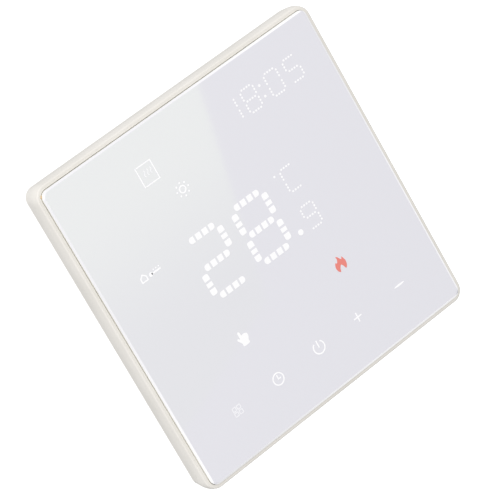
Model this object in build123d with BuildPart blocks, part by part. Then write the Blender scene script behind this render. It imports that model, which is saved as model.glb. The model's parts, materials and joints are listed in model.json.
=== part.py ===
"""Touch-glass wall thermostat for heating, 86 mm format, taken apart into its real pieces.

The wall is the plane Y = 0 and the display faces -Y, into the room. X runs to the right and Z up,
as seen from the room. Heights are measured from the wall towards the room, so the sealed unit that
sits inside the wall box has negative heights. All sizes are in millimetres.
"""

import math
import os

from build123d import *

os.makedirs("parts", exist_ok=True)

wall = Plane.XZ  # its normal points into the room, so wall.offset(h) lies h in front of the wall
fit_gap = 0.2  # free air left between neighbouring mouldings
screw_gap = 0.05  # radial clearance of a turning screw

# ---- front casing ----------------------------------------------------------------------------
casing_width = 86.0
casing_corner = 3.65
waist_crest = 0.08  # height that rounding the waist takes off again
casing_front = 7.8
casing_back = 0.1
waist_height = 5.3  # the side is widest here
front_half = 42.7
back_half = 42.3
waist_rounding = 11.0
front_edge_rounding = 0.45
back_edge_rounding = 0.3
cavity_half = 41.0
cavity_corner = 1.7
ledge_front = 6.8
ledge_thickness = 1.0
ledge_window_half = 38.0
ledge_window_cut = 7.0
ledge_back = ledge_front - ledge_thickness
side_cut = 5.0  # length of the cuts through the bottom side, half of it inside the casing
vent_x = 30.0
vent_base = 1.6
vent_size = (1.2, 2.8)
vent_pitch = 2.4
vent_count = 5
notch_size = (9.0, 1.5)
waist_half = casing_width / 2 + waist_crest
front_taper = math.degrees(math.atan2(waist_half - front_half, casing_front - waist_height))
back_taper = math.degrees(math.atan2(waist_half - back_half, waist_height - casing_back))

# ---- glass and the films behind it -----------------------------------------------------------
glass_half = 41.6
glass_corner = 2.0
glass_front = 8.6  # the glass stands proud of the casing round it
glass_back = 7.0
glass_gap = 0.12
bevel_width = 0.5
bevel_depth = 0.3
film_half = 38.3
tape_inner_half = 38.6
tape_outer_half = 41.3
tape_inner_corner = 1.0
film_corner = 0.8
diffuser_thickness = 0.2

# ---- display board ---------------------------------------------------------------------------
board_front = 4.0
board_back = 2.8
board_width = 78.0
board_height = 76.8
board_corner = 2.0
board_screw_at = 35.8
board_screw_radius = 0.85
board_screw_head_radius = 1.7
board_screw_head = 0.9
board_screw_cross = (1.9, 0.4)
board_screw_cross_depth = 0.5
board_screw_reach = 6.3
boss_radius = 2.2

# ---- seven-segment digits: distances between the centre lines of their bars --------------------
big_digit = (9.75, 15.25)
small_digit = (4.1, 6.1)
big_bar = (7.0, 1.9)
small_bar = (2.8, 0.9)
big_digits_at = [(-11.5, 3.4), (2.9, 3.4)]
small_digits_at = [(11.1, 30.7), (17.3, 30.7), (24.9, 30.7), (31.1, 30.7), (16.0, -1.6), (16.1, 9.0)]
dots_at = [(20.9, 29.2), (20.9, 32.2), (11.3, -3.6), (12.4, 11.6)]
symbols_at = [(-15.8, 30.7), (-10.0, 22.6), (-27.6, 10.6), (-15.8, -16.2), (16.3, -15.9)]
symbol_cell = 4.8
dot_cell = 1.6
reflector_width = 73.0
reflector_height = 58.0
reflector_centre_z = 7.0
reflector_corner_cut = 6.5  # leaves room for the screw bosses
led_size = (0.6, 0.8)
led_height = 0.5

# ---- touch keys ------------------------------------------------------------------------------
key_centres = [(-26.5, -29.7), (-13.2, -29.7), (0.3, -29.7), (13.3, -29.7), (27.5, -29.7)]
spring_radius = 2.6
spring_wire = 0.2
spring_turns = 3

# ---- small parts on the display board's back: middle (x, z) and size (x, z, height) -------------
controller_at = (-5.0, 27.5)
controller_size = (7.0, 7.0, 1.4)
controller_corner = 0.2
crystal_at = (3.5, 27.5)
crystal_size = (3.2, 5.0, 1.0)
crystal_corner = 0.6
radio_board_at = (10.0, 4.9)
radio_board_size = (16.0, 18.0, 0.8)
radio_shield_at = (10.0, 2.6)
radio_shield_size = (13.0, 12.0, 2.2)
radio_shield_corner = 0.6
drawn_rounding = 0.3  # edge of the drawn shield can and of the cell
driver_places = [(17.0, 27.0), (26.0, 27.0)]
driver_size = (4.0, 6.4, 0.9)
resistor_places = [(-18.0, 27.0), (0.0, -25.0)]
resistor_size = (0.9, 1.7)
resistor_pitch = (2.4, 3.2)
coin_cell_at = (-10.0, 3.6)
coin_cell_radius = 6.25
coin_cell_thickness = 2.0
cell_lift = 0.1
clip_strap_width = 4.0
clip_strap_height = 2.5
clip_strap_sheet = 0.3
clip_strap_reach = 1.7  # how far its feet stand out beyond the cell on each side
clip_strap_bore = 0.2
clip_foot_sheet = 0.4
clip_foot_length = 1.2
buzzer_at = (-30.0, -24.0)
buzzer_size = (9.0, 9.0, 1.6)
buzzer_corner = 0.5
buzzer_hole = (1.0, 0.8)  # radius and depth
sensor_at = (30.0, -3.4, -39.75)
sensor_bead_radius = 1.1
sensor_lead_radius = 0.2
sensor_lead_pitch = 1.0

# ---- wall fixing -----------------------------------------------------------------------------
screw_spacing = 60.0
slot_width = 4.4
slot_length = 9.0
plate_width = 77.8
plate_corner = 3.0
plate_thickness = 1.0
plate_window = (41.0, 27.0)
plate_window_corner = 2.0
emboss = 0.6  # the plate's middle is pressed forward and the power box sits in the hollow
emboss_clearance = 0.2
emboss_wall = 0.6
clip_x = 24.0
lip_width = 10.0
lip_height = 1.5
lip_thickness = 1.0
clip_width = 8.0
clip_thickness = 1.2
clip_tip = 0.5
head_clearance = (13.0, 9.0)  # cut from the display board round each wall screw's head

# ---- sealed unit in the wall box: an octagon that drops into a round 60 mm box ----------------
unit_half = 24.0
unit_top = 22.0
unit_bottom = -20.0
top_cut = 7.0
bottom_cut = 4.0
unit_wall = 1.6
unit_depth = 27.0
terminal_depth = 22.4
terminal_shelf_z = -8.0
column_radius = 2.6
column_depth = 5.0
post_radius = 1.8
post_points = [(-20.0, 10.8), (20.0, 10.8)]
column_points = [(-18.0, 16.5), (18.0, 16.5), (-19.0, -16.0), (19.0, -16.0)]
plate_screw_radius = 1.1
plate_screw_reach = 4.4
plate_screw_head = (2.0, 1.0)  # radius and height
plate_screw_rounding = 0.35
plate_screw_cross = (2.2, 0.5)
plate_screw_cross_depth = 0.6
cover_depth = 1.0
cover_thickness = 1.2
cover_window_margin = 0.6
cover_vent_z = 16.5
cover_vent_size = (5.0, 1.2)
cover_vent_pitch = 3.0
cover_vent_count = 8
unit_corner = 1.0
power_board_depth = 5.0
power_board_thickness = 1.6
parts_depth = power_board_depth + power_board_thickness + 0.1  # where parts stand on the board

# ---- plug between the two units ----------------------------------------------------------------
pin_count = 8
pin_pitch = 2.0
pin_side = 0.5
pin_tip = 2.0
header_z = -6.0
header_size = (16.4, 2.2)
socket_back = -0.7
socket_play = 0.08
pin_point = 0.12
strip_height = 2.3

# ---- screw terminals -------------------------------------------------------------------------
terminal_count = 6
terminal_pitch = 6.6
terminal_z = -15.1
thread_pitch = 0.5
cage_travel = 3.0
terminal_screw_radius = 1.45
terminal_head_radius = 2.5
terminal_head = 1.7
terminal_head_rounding = 0.25
terminal_slot = (6.0, 0.7)  # longer than the head, so that it runs out at both sides
terminal_cross = (0.8, 2.8)
terminal_slot_depth = 0.9
block_front = 6.7
block_back = 20.8
block_top_z = -9.0
shelf_depth = 17.8  # where the moulding steps in under the screw heads
head_depth = 18.85
tongue_depth = 11.6
tongue_thickness = 1.0
cage_size = (5.5, 7.2, 5.6)  # across X, along the screw, and along the wire
cage_front = 7.4
cage_wall = 0.7
cage_floor = 1.0
cage_roof = 1.8
cage_corner = 0.5
cell_wall = 0.4
cell_bottom = unit_bottom + 1.4
cell_top = -10.0
cell_floor = 0.5
entry_low = 8.0
entry_width = 4.2
entry_corner = 0.6
entry_length = 1.5
leg_z = -10.7
leg_slot = (3.8, 1.4)
leg_size = (3.4, 1.0)
leg_end = 4.2  # how far behind the wall the legs end, short of the board's front face
tongue_end = 0.6
terminal_x = [(i - (terminal_count - 1) / 2) * terminal_pitch for i in range(terminal_count)]


def bar_places(centre, digit):
    """Centres of a digit's three level bars and of its four upright bars."""
    x, z = centre
    width, height = digit
    level = [(x, z + k * height / 2) for k in (-1, 0, 1)]
    upright = [(x + i * width / 2, z + k * height / 4) for i in (-1, 1) for k in (-1, 1)]
    return level, upright


big_bars = [bar_places(centre, big_digit) for centre in big_digits_at]
small_bars = [bar_places(centre, small_digit) for centre in small_digits_at]
led_places = [p for level, upright in big_bars + small_bars for p in level + upright]
led_places = led_places + dots_at + symbols_at

# ================================ display unit ==================================================

with BuildPart() as front_glass:
    with BuildSketch(wall.offset(glass_back)):
        RectangleRounded(2 * glass_half, 2 * glass_half, glass_corner)
    extrude(amount=glass_front - glass_back)
    front_edges = front_glass.faces().sort_by(Axis.Y)[0].edges()
    chamfer(front_edges, length=bevel_depth, length2=bevel_width)
front_glass.part.label = "front_glass"
export_step(front_glass.part, "parts/front_glass.step")

with BuildPart() as glass_tape:
    with BuildSketch(wall.offset(ledge_front)):
        RectangleRounded(2 * tape_outer_half, 2 * tape_outer_half, glass_corner)
        RectangleRounded(2 * tape_inner_half, 2 * tape_inner_half, tape_inner_corner, mode=Mode.SUBTRACT)
    extrude(amount=glass_back - ledge_front)
glass_tape.part.label = "glass_tape"
export_step(glass_tape.part, "parts/glass_tape.step")

with BuildPart() as mask_film:
    with BuildSketch(wall.offset(ledge_front)):
        RectangleRounded(2 * film_half, 2 * film_half, film_corner)
    extrude(amount=glass_back - ledge_front)
mask_film.part.label = "mask_film"
export_step(mask_film.part, "parts/mask_film.step")

with BuildPart() as front_frame:
    # Barrel-shaped side: it leans in from the waist both to the front and to the wall.
    with BuildSketch(wall.offset(waist_height)):
        RectangleRounded(2 * waist_half, 2 * waist_half, casing_corner)
    extrude(amount=casing_front - waist_height, taper=front_taper)
    with BuildSketch(-wall.offset(waist_height)):
        RectangleRounded(2 * waist_half, 2 * waist_half, casing_corner)
    extrude(amount=waist_height - casing_back, taper=back_taper)
    waist_edges = front_frame.edges().filter_by_position(
        Axis.Y, -waist_height - 0.01, -waist_height + 0.01
    )
    fillet(waist_edges, radius=waist_rounding)
    fillet(front_frame.faces().sort_by(Axis.Y)[0].edges(), radius=front_edge_rounding)
    fillet(front_frame.faces().sort_by(Axis.Y)[-1].edges(), radius=back_edge_rounding)
    # Recess for the glass, the window in its ledge and the hollow behind.
    with BuildSketch(wall.offset(ledge_front)):
        recess = 2 * glass_half + 2 * glass_gap
        RectangleRounded(recess, recess, glass_corner + glass_gap)
    extrude(amount=casing_front - ledge_front, mode=Mode.SUBTRACT)
    with BuildSketch(wall.offset(casing_back)):
        RectangleRounded(2 * cavity_half, 2 * cavity_half, cavity_corner)
    extrude(amount=ledge_back - casing_back, mode=Mode.SUBTRACT)
    with BuildSketch(wall.offset(ledge_back)) as ledge_window:
        Rectangle(2 * ledge_window_half, 2 * ledge_window_half)
        chamfer(ledge_window.vertices(), ledge_window_cut)
    extrude(amount=ledge_thickness, mode=Mode.SUBTRACT)
    # Screw bosses behind the ledge's corners.
    with BuildSketch(wall.offset(board_front)):
        with GridLocations(2 * board_screw_at, 2 * board_screw_at, 2, 2):
            Circle(boss_radius)
    extrude(amount=ledge_front - board_front)
    with BuildSketch(wall.offset(board_front)):
        with GridLocations(2 * board_screw_at, 2 * board_screw_at, 2, 2):
            Circle(board_screw_radius + screw_gap)
    extrude(amount=board_screw_reach + 0.1 - board_front, mode=Mode.SUBTRACT)
    # Snap tongues that reach over the mounting plate's lips.
    clip_z = plate_width / 2 + fit_gap + clip_thickness / 2
    with BuildSketch(wall.offset(clip_tip)):
        with GridLocations(2 * clip_x, 2 * clip_z, 2, 2):
            Rectangle(clip_width, clip_thickness)
    extrude(amount=ledge_back - clip_tip)
    # Air slots below the room sensor, and the notch where a screwdriver lifts the unit off.
    with BuildSketch(wall.offset(vent_base)):
        with Locations((vent_x, -waist_half)):
            with GridLocations(vent_pitch, 1.0, vent_count, 1):
                Rectangle(vent_size[0], side_cut)
    extrude(amount=vent_size[1], mode=Mode.SUBTRACT)
    with BuildSketch(wall):
        with Locations((0, -waist_half)):
            Rectangle(notch_size[0], side_cut)
    extrude(amount=notch_size[1], mode=Mode.SUBTRACT)
front_frame.part.label = "front_frame"
export_step(front_frame.part, "parts/front_frame.step")

with BuildSketch() as reflector_outline:
    with Locations((0, reflector_centre_z)):
        Rectangle(reflector_width, reflector_height)
    chamfer(reflector_outline.vertices().group_by(Axis.Y)[-1], reflector_corner_cut)

with BuildPart() as diffuser_sheet:
    with BuildSketch(wall.offset(ledge_front - diffuser_thickness)):
        add(reflector_outline.sketch)
    extrude(amount=diffuser_thickness)
diffuser_sheet.part.label = "diffuser_sheet"
export_step(diffuser_sheet.part, "parts/diffuser_sheet.step")

with BuildPart() as reflector_block:
    with BuildSketch(wall.offset(board_front)):
        add(reflector_outline.sketch)
    extrude(amount=ledge_front - diffuser_thickness - board_front)
    # One light well for each bar, dot and symbol.
    with BuildSketch(wall.offset(board_front)):
        for bars, size in ((big_bars, big_bar), (small_bars, small_bar)):
            for level, upright in bars:
                with Locations(*level):
                    Rectangle(size[0], size[1])
                with Locations(*upright):
                    Rectangle(size[1], size[0] * 0.8)
        with Locations(*symbols_at):
            Rectangle(symbol_cell, symbol_cell)
        with Locations(*dots_at):
            Rectangle(dot_cell, dot_cell)
    extrude(amount=ledge_front - board_front, mode=Mode.SUBTRACT)
reflector_block.part.label = "reflector_block"
export_step(reflector_block.part, "parts/reflector_block.step")

with BuildPart() as segment_leds:
    with BuildSketch(wall.offset(board_front)):
        with Locations(*led_places):
            Rectangle(*led_size)
        with Locations(*key_centres):
            Rectangle(*led_size)
    extrude(amount=led_height)
segment_leds.part.label = "segment_leds"
export_step(segment_leds.part, "parts/segment_leds.step")

spring_rise = (ledge_front - board_front - 2 * spring_wire) / spring_turns
with BuildPart() as touch_springs:
    with BuildLine() as spring_path:
        Helix(
            pitch=spring_rise,
            height=spring_rise * spring_turns,
            radius=spring_radius,
            center=(key_centres[0][0], -board_front - spring_wire, key_centres[0][1]),
            direction=(0, -1, 0),
        )
    with BuildSketch(Plane(spring_path.line @ 0, z_dir=spring_path.line % 0)):
        Circle(spring_wire)
    sweep()
    first_spring = touch_springs.part
    for key_x, key_z in key_centres[1:]:
        add(first_spring.moved(Location((key_x - key_centres[0][0], 0, key_z - key_centres[0][1]))))
touch_springs.part.label = "touch_springs"
export_step(touch_springs.part, "parts/touch_springs.step")

with BuildPart() as display_board:
    with BuildSketch(wall.offset(board_back)):
        RectangleRounded(board_width, board_height, board_corner)
        with GridLocations(2 * board_screw_at, 2 * board_screw_at, 2, 2):
            Circle(board_screw_radius + 0.1, mode=Mode.SUBTRACT)
        with GridLocations(screw_spacing, 1.0, 2, 1):
            RectangleRounded(*head_clearance, 2.0, mode=Mode.SUBTRACT)
    extrude(amount=board_front - board_back)
display_board.part.label = "display_board"
export_step(display_board.part, "parts/display_board.step")

with BuildPart() as board_screws:
    with BuildSketch(wall.offset(board_back)):
        with GridLocations(2 * board_screw_at, 2 * board_screw_at, 2, 2):
            Circle(board_screw_radius)
    extrude(amount=board_screw_reach - board_back)
    with BuildSketch(wall.offset(board_back - board_screw_head)):
        with GridLocations(2 * board_screw_at, 2 * board_screw_at, 2, 2):
            Circle(board_screw_head_radius)
    extrude(amount=board_screw_head)
    with BuildSketch(wall.offset(board_back - board_screw_head)):
        with GridLocations(2 * board_screw_at, 2 * board_screw_at, 2, 2):
            Rectangle(*board_screw_cross)
            Rectangle(*board_screw_cross[::-1])
    extrude(amount=board_screw_cross_depth, mode=Mode.SUBTRACT)
board_screws.part.label = "board_screws"
export_step(board_screws.part, "parts/board_screws.step")

with BuildPart() as microcontroller:
    with BuildSketch(wall.offset(board_back)):
        with Locations(controller_at):
            RectangleRounded(*controller_size[:2], controller_corner)
    extrude(amount=-controller_size[2])
microcontroller.part.label = "microcontroller"
export_step(microcontroller.part, "parts/microcontroller.step")

with BuildPart() as crystal:
    with BuildSketch(wall.offset(board_back)):
        with Locations(crystal_at):
            RectangleRounded(*crystal_size[:2], crystal_corner)
    extrude(amount=-crystal_size[2])
crystal.part.label = "crystal"
export_step(crystal.part, "parts/crystal.step")

with BuildPart() as radio_board:
    with BuildSketch(wall.offset(board_back)):
        with Locations(radio_board_at):
            Rectangle(*radio_board_size[:2])
    extrude(amount=-radio_board_size[2])
radio_board.part.label = "radio_board"
export_step(radio_board.part, "parts/radio_board.step")

with BuildPart() as radio_shield:
    with BuildSketch(wall.offset(board_back - radio_board_size[2])):
        with Locations(radio_shield_at):
            RectangleRounded(*radio_shield_size[:2], radio_shield_corner)
    extrude(amount=-radio_shield_size[2])
    fillet(radio_shield.faces().sort_by(Axis.Y)[-1].edges(), radius=drawn_rounding)
radio_shield.part.label = "radio_shield"
export_step(radio_shield.part, "parts/radio_shield.step")

with BuildPart() as coin_cell:
    with BuildSketch(wall.offset(board_back - cell_lift)):
        with Locations(coin_cell_at):
            Circle(coin_cell_radius)
    extrude(amount=-coin_cell_thickness)
    fillet(coin_cell.faces().sort_by(Axis.Y)[-1].edges(), radius=drawn_rounding)
coin_cell.part.label = "coin_cell"
export_step(coin_cell.part, "parts/coin_cell.step")

clip_strap_length = 2 * (coin_cell_radius + clip_strap_reach)
with BuildPart() as cell_clip:
    with BuildSketch(wall.offset(board_back)):
        with Locations(coin_cell_at):
            Rectangle(clip_strap_length, clip_strap_width)
    extrude(amount=-clip_strap_height)
    with BuildSketch(wall.offset(board_back)):
        with Locations(coin_cell_at):
            Rectangle(2 * (coin_cell_radius + clip_strap_bore), clip_strap_width)
    extrude(amount=clip_strap_sheet - clip_strap_height, mode=Mode.SUBTRACT)
    with BuildSketch(wall.offset(board_back - clip_foot_sheet)):
        with Locations(coin_cell_at):
            with GridLocations(clip_strap_length, 1.0, 2, 1):
                Rectangle(2 * clip_foot_length, clip_strap_width)
    extrude(amount=clip_foot_sheet - clip_strap_height, mode=Mode.SUBTRACT)
cell_clip.part.label = "cell_clip"
export_step(cell_clip.part, "parts/cell_clip.step")

with BuildPart() as buzzer:
    with BuildSketch(wall.offset(board_back)):
        with Locations(buzzer_at):
            RectangleRounded(*buzzer_size[:2], buzzer_corner)
    extrude(amount=-buzzer_size[2])
    with BuildSketch(wall.offset(board_back - buzzer_size[2])):
        with Locations(buzzer_at):
            Circle(buzzer_hole[0])
    extrude(amount=buzzer_hole[1], mode=Mode.SUBTRACT)
buzzer.part.label = "buzzer"
export_step(buzzer.part, "parts/buzzer.step")

with BuildPart() as room_sensor:
    with BuildSketch(Plane.XY.offset(sensor_at[2])):
        with Locations((sensor_at[0], sensor_at[1])):
            with GridLocations(sensor_lead_pitch, 1.0, 2, 1):
                Circle(sensor_lead_radius)
    extrude(amount=-sensor_at[2] - board_height / 2)
    with Locations(sensor_at):
        Sphere(sensor_bead_radius)
room_sensor.part.label = "room_sensor"
export_step(room_sensor.part, "parts/room_sensor.step")

with BuildPart() as header_socket:
    with BuildSketch(wall.offset(board_back)):
        with Locations((0, header_z)):
            Rectangle(*header_size)
    extrude(amount=socket_back - board_back)
    with BuildSketch(wall.offset(socket_back)):
        with Locations((0, header_z)):
            with GridLocations(pin_pitch, 1.0, pin_count, 1):
                Rectangle(pin_side + 2 * socket_play, pin_side + 2 * socket_play)
    extrude(amount=pin_tip + fit_gap - socket_back, mode=Mode.SUBTRACT)
header_socket.part.label = "header_socket"
export_step(header_socket.part, "parts/header_socket.step")

with BuildPart() as driver_chips:
    with BuildSketch(wall.offset(board_back)):
        with Locations(*driver_places):
            Rectangle(*driver_size[:2])
        with Locations(*resistor_places):
            with GridLocations(*resistor_pitch, 4, 2):
                Rectangle(*resistor_size)
    extrude(amount=-driver_size[2])
driver_chips.part.label = "driver_chips"
export_step(driver_chips.part, "parts/driver_chips.step")

# ================================ wall unit =====================================================

with BuildSketch(wall) as unit_outline:
    with BuildLine():
        Polyline(
            (-unit_half, unit_bottom + bottom_cut),
            (-unit_half + bottom_cut, unit_bottom),
            (unit_half - bottom_cut, unit_bottom),
            (unit_half, unit_bottom + bottom_cut),
            (unit_half, unit_top - top_cut),
            (unit_half - top_cut, unit_top),
            (-unit_half + top_cut, unit_top),
            (-unit_half, unit_top - top_cut),
            close=True,
        )
    make_face()

with BuildPart() as mounting_plate:
    with BuildSketch(wall):
        RectangleRounded(plate_width, plate_width, plate_corner)
    extrude(amount=plate_thickness)
    with BuildSketch(wall):
        offset(unit_outline.sketch, amount=emboss_clearance + emboss_wall, kind=Kind.INTERSECTION)
    extrude(amount=plate_thickness + emboss)
    with BuildSketch(wall):
        offset(unit_outline.sketch, amount=emboss_clearance, kind=Kind.INTERSECTION)
    extrude(amount=emboss, mode=Mode.SUBTRACT)
    with BuildSketch(wall):
        RectangleRounded(*plate_window, plate_window_corner)
        with GridLocations(screw_spacing, 1.0, 2, 1):
            SlotOverall(slot_length, slot_width)
        with Locations(*column_points):
            Circle(plate_screw_radius + 0.1)
    extrude(amount=plate_thickness + emboss, mode=Mode.SUBTRACT)
    # Lips that the display unit's tongues snap over, bent up with their windows.
    lip_z = plate_width / 2 - lip_thickness / 2
    with BuildSketch(wall.offset(plate_thickness)):
        with GridLocations(2 * clip_x, 2 * lip_z, 2, 2):
            Rectangle(lip_width, lip_thickness)
    extrude(amount=lip_height)
mounting_plate.part.label = "mounting_plate"
export_step(mounting_plate.part, "parts/mounting_plate.step")

with BuildPart() as power_box:
    with BuildSketch(wall.offset(emboss)) as outside:
        add(unit_outline.sketch)
        fillet(outside.vertices(), radius=unit_corner)
    extrude(amount=-emboss - unit_depth)
    shelf_height = terminal_shelf_z - unit_bottom
    with BuildSketch(wall.offset(-terminal_depth)):
        with Locations((0, terminal_shelf_z - shelf_height)):
            Rectangle(3 * unit_half, 2 * shelf_height)
    extrude(amount=terminal_depth - unit_depth, mode=Mode.SUBTRACT)
    with BuildSketch(wall.offset(emboss)):
        offset(unit_outline.sketch, amount=-unit_wall, kind=Kind.INTERSECTION)
    extrude(amount=unit_wall - emboss - terminal_depth, mode=Mode.SUBTRACT)
    with BuildSketch(wall):
        offset(unit_outline.sketch, amount=-unit_wall, kind=Kind.INTERSECTION)
        with Locations((0, terminal_shelf_z + unit_wall - 2 * unit_half)):
            Rectangle(4 * unit_half, 4 * unit_half, mode=Mode.SUBTRACT)
    extrude(amount=unit_wall - unit_depth, mode=Mode.SUBTRACT)
    # Columns for the plate's screws, and posts that hold the board from behind.
    with BuildSketch(wall.offset(emboss)):
        with Locations(*column_points):
            Circle(column_radius)
    extrude(amount=0.1 - emboss - column_depth)
    with BuildSketch(wall.offset(emboss)):
        with Locations(*column_points):
            Circle(plate_screw_radius + screw_gap)
    extrude(amount=-emboss - plate_screw_reach - 0.2, mode=Mode.SUBTRACT)
    with BuildSketch(wall.offset(-parts_depth)):
        with Locations(*post_points):
            Circle(post_radius)
    extrude(amount=parts_depth + unit_wall - unit_depth)
    # Gap in the bottom wall for the terminal block, and a hole over each of its screws.
    with BuildSketch(Plane.XY.offset(unit_bottom)):
        with Locations((0, (block_front + block_back) / 2)):
            Rectangle(terminal_count * terminal_pitch + 0.4, block_back - block_front + 0.2)
    extrude(amount=unit_wall + 1.0, mode=Mode.SUBTRACT)
    with BuildSketch(wall.offset(-block_back)):
        with Locations(*[(x, terminal_z) for x in terminal_x]):
            Circle(terminal_head_radius + 0.4)
    extrude(amount=block_back - terminal_depth, mode=Mode.SUBTRACT)
power_box.part.label = "power_box"
export_step(power_box.part, "parts/power_box.step")

with BuildPart() as power_cover:
    with BuildSketch(wall.offset(-cover_depth)):
        offset(unit_outline.sketch, amount=-unit_wall - fit_gap, kind=Kind.INTERSECTION)
        with Locations(*column_points):
            Circle(column_radius + fit_gap, mode=Mode.SUBTRACT)
        with Locations((0, header_z)):
            window_length, window_height = [side + 2 * cover_window_margin for side in header_size]
            RectangleRounded(window_length, window_height, 0.5, mode=Mode.SUBTRACT)
        with Locations((0, cover_vent_z)):
            with GridLocations(cover_vent_pitch, 1.0, cover_vent_count, 1):
                SlotOverall(*cover_vent_size, rotation=90, mode=Mode.SUBTRACT)
    extrude(amount=-cover_thickness)
power_cover.part.label = "power_cover"
export_step(power_cover.part, "parts/power_cover.step")

with BuildPart() as plate_screws:
    screw_seat = plate_thickness + emboss
    with BuildSketch(wall.offset(screw_seat)):
        with Locations(*column_points):
            Circle(plate_screw_radius)
    extrude(amount=-screw_seat - plate_screw_reach)
    with BuildSketch(wall.offset(screw_seat)):
        with Locations(*column_points):
            Circle(plate_screw_head[0])
    extrude(amount=plate_screw_head[1])
    fillet(plate_screws.faces().sort_by(Axis.Y)[0:4].edges(), radius=plate_screw_rounding)
    with BuildSketch(wall.offset(screw_seat + plate_screw_head[1])):
        with Locations(*column_points):
            Rectangle(*plate_screw_cross)
            Rectangle(*plate_screw_cross[::-1])
    extrude(amount=-plate_screw_cross_depth, mode=Mode.SUBTRACT)
plate_screws.part.label = "plate_screws"
export_step(plate_screws.part, "parts/plate_screws.step")

with BuildPart() as power_board:
    with BuildSketch(wall.offset(-power_board_depth)):
        offset(unit_outline.sketch, amount=-unit_wall - fit_gap, kind=Kind.INTERSECTION)
        with Locations(*[(x, leg_z) for x in terminal_x]):
            Rectangle(*leg_slot, mode=Mode.SUBTRACT)
        with Locations((0, header_z)):
            with GridLocations(pin_pitch, 1.0, pin_count, 1):
                Rectangle(pin_side + 0.1, pin_side + 0.1, mode=Mode.SUBTRACT)
    extrude(amount=-power_board_thickness)
power_board.part.label = "power_board"
export_step(power_board.part, "parts/power_board.step")

with BuildPart() as header_strip:
    with BuildSketch(wall.offset(-power_board_depth)):
        with Locations((0, header_z)):
            Rectangle(*header_size)
            with GridLocations(pin_pitch, 1.0, pin_count, 1):
                Rectangle(pin_side + 0.1, pin_side + 0.1, mode=Mode.SUBTRACT)
    extrude(amount=strip_height)
header_strip.part.label = "header_strip"
export_step(header_strip.part, "parts/header_strip.step")

with BuildPart() as header_pins:
    with BuildSketch(wall.offset(-parts_depth + 0.2)):
        with Locations((0, header_z)):
            with GridLocations(pin_pitch, 1.0, pin_count, 1):
                Rectangle(pin_side, pin_side)
    extrude(amount=parts_depth - 0.2 + pin_tip)
    chamfer(header_pins.faces().group_by(Axis.Y)[0].edges(), length=pin_point)
header_pins.part.label = "header_pins"
export_step(header_pins.part, "parts/header_pins.step")

# ---- screw terminals: the screw stays put and the cage climbs it to press the wire on the tongue --

with BuildPart() as terminal_block:
    block_middle = (unit_bottom + block_top_z) / 2
    with BuildSketch(wall.offset(-block_front)):
        with Locations((0, block_middle)):
            Rectangle(terminal_count * terminal_pitch, block_top_z - unit_bottom)
    extrude(amount=block_front - block_back)
    # Shaft of each cage, the step under the screw head, the well for the head, the wire's way in.
    with BuildSketch(wall.offset(-block_front - cell_floor)):
        with Locations(*[(x, (cell_bottom + cell_top) / 2) for x in terminal_x]):
            Rectangle(terminal_pitch - 2 * cell_wall, cell_top - cell_bottom)
    extrude(amount=block_front + cell_floor - shelf_depth, mode=Mode.SUBTRACT)
    with BuildSketch(wall.offset(-shelf_depth)):
        with Locations(*[(x, terminal_z) for x in terminal_x]):
            Circle(terminal_screw_radius + fit_gap)
    extrude(amount=shelf_depth - block_back, mode=Mode.SUBTRACT)
    with BuildSketch(wall.offset(-head_depth + 0.05)):
        with Locations(*[(x, terminal_z) for x in terminal_x]):
            Circle(terminal_head_radius + 0.25)
    extrude(amount=head_depth - 0.05 - block_back, mode=Mode.SUBTRACT)
    with BuildSketch(Plane.XY.offset(unit_bottom)):
        with Locations(*[(x, (entry_low + tongue_depth) / 2) for x in terminal_x]):
            RectangleRounded(entry_width, tongue_depth - entry_low, entry_corner)
    extrude(amount=entry_length, mode=Mode.SUBTRACT)
    with BuildSketch(wall.offset(-block_front)):
        with Locations(*[(x, leg_z) for x in terminal_x]):
            Rectangle(*leg_slot)
    extrude(amount=-cell_floor - 0.1, mode=Mode.SUBTRACT)
terminal_block.part.label = "terminal_block"
export_step(terminal_block.part, "parts/terminal_block.step")

with BuildPart() as contact_bars:
    with BuildSketch(wall.offset(-tongue_depth)):
        with Locations(*[(x, (cell_bottom + tongue_end + leg_z) / 2) for x in terminal_x]):
            Rectangle(leg_size[0], leg_z - cell_bottom - tongue_end)
    extrude(amount=-tongue_thickness)
    with BuildSketch(wall.offset(-leg_end)):
        with Locations(*[(x, leg_z) for x in terminal_x]):
            Rectangle(*leg_size)
    extrude(amount=leg_end - tongue_depth - tongue_thickness)
contact_bars.part.label = "contact_bars"
export_step(contact_bars.part, "parts/contact_bars.step")

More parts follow.
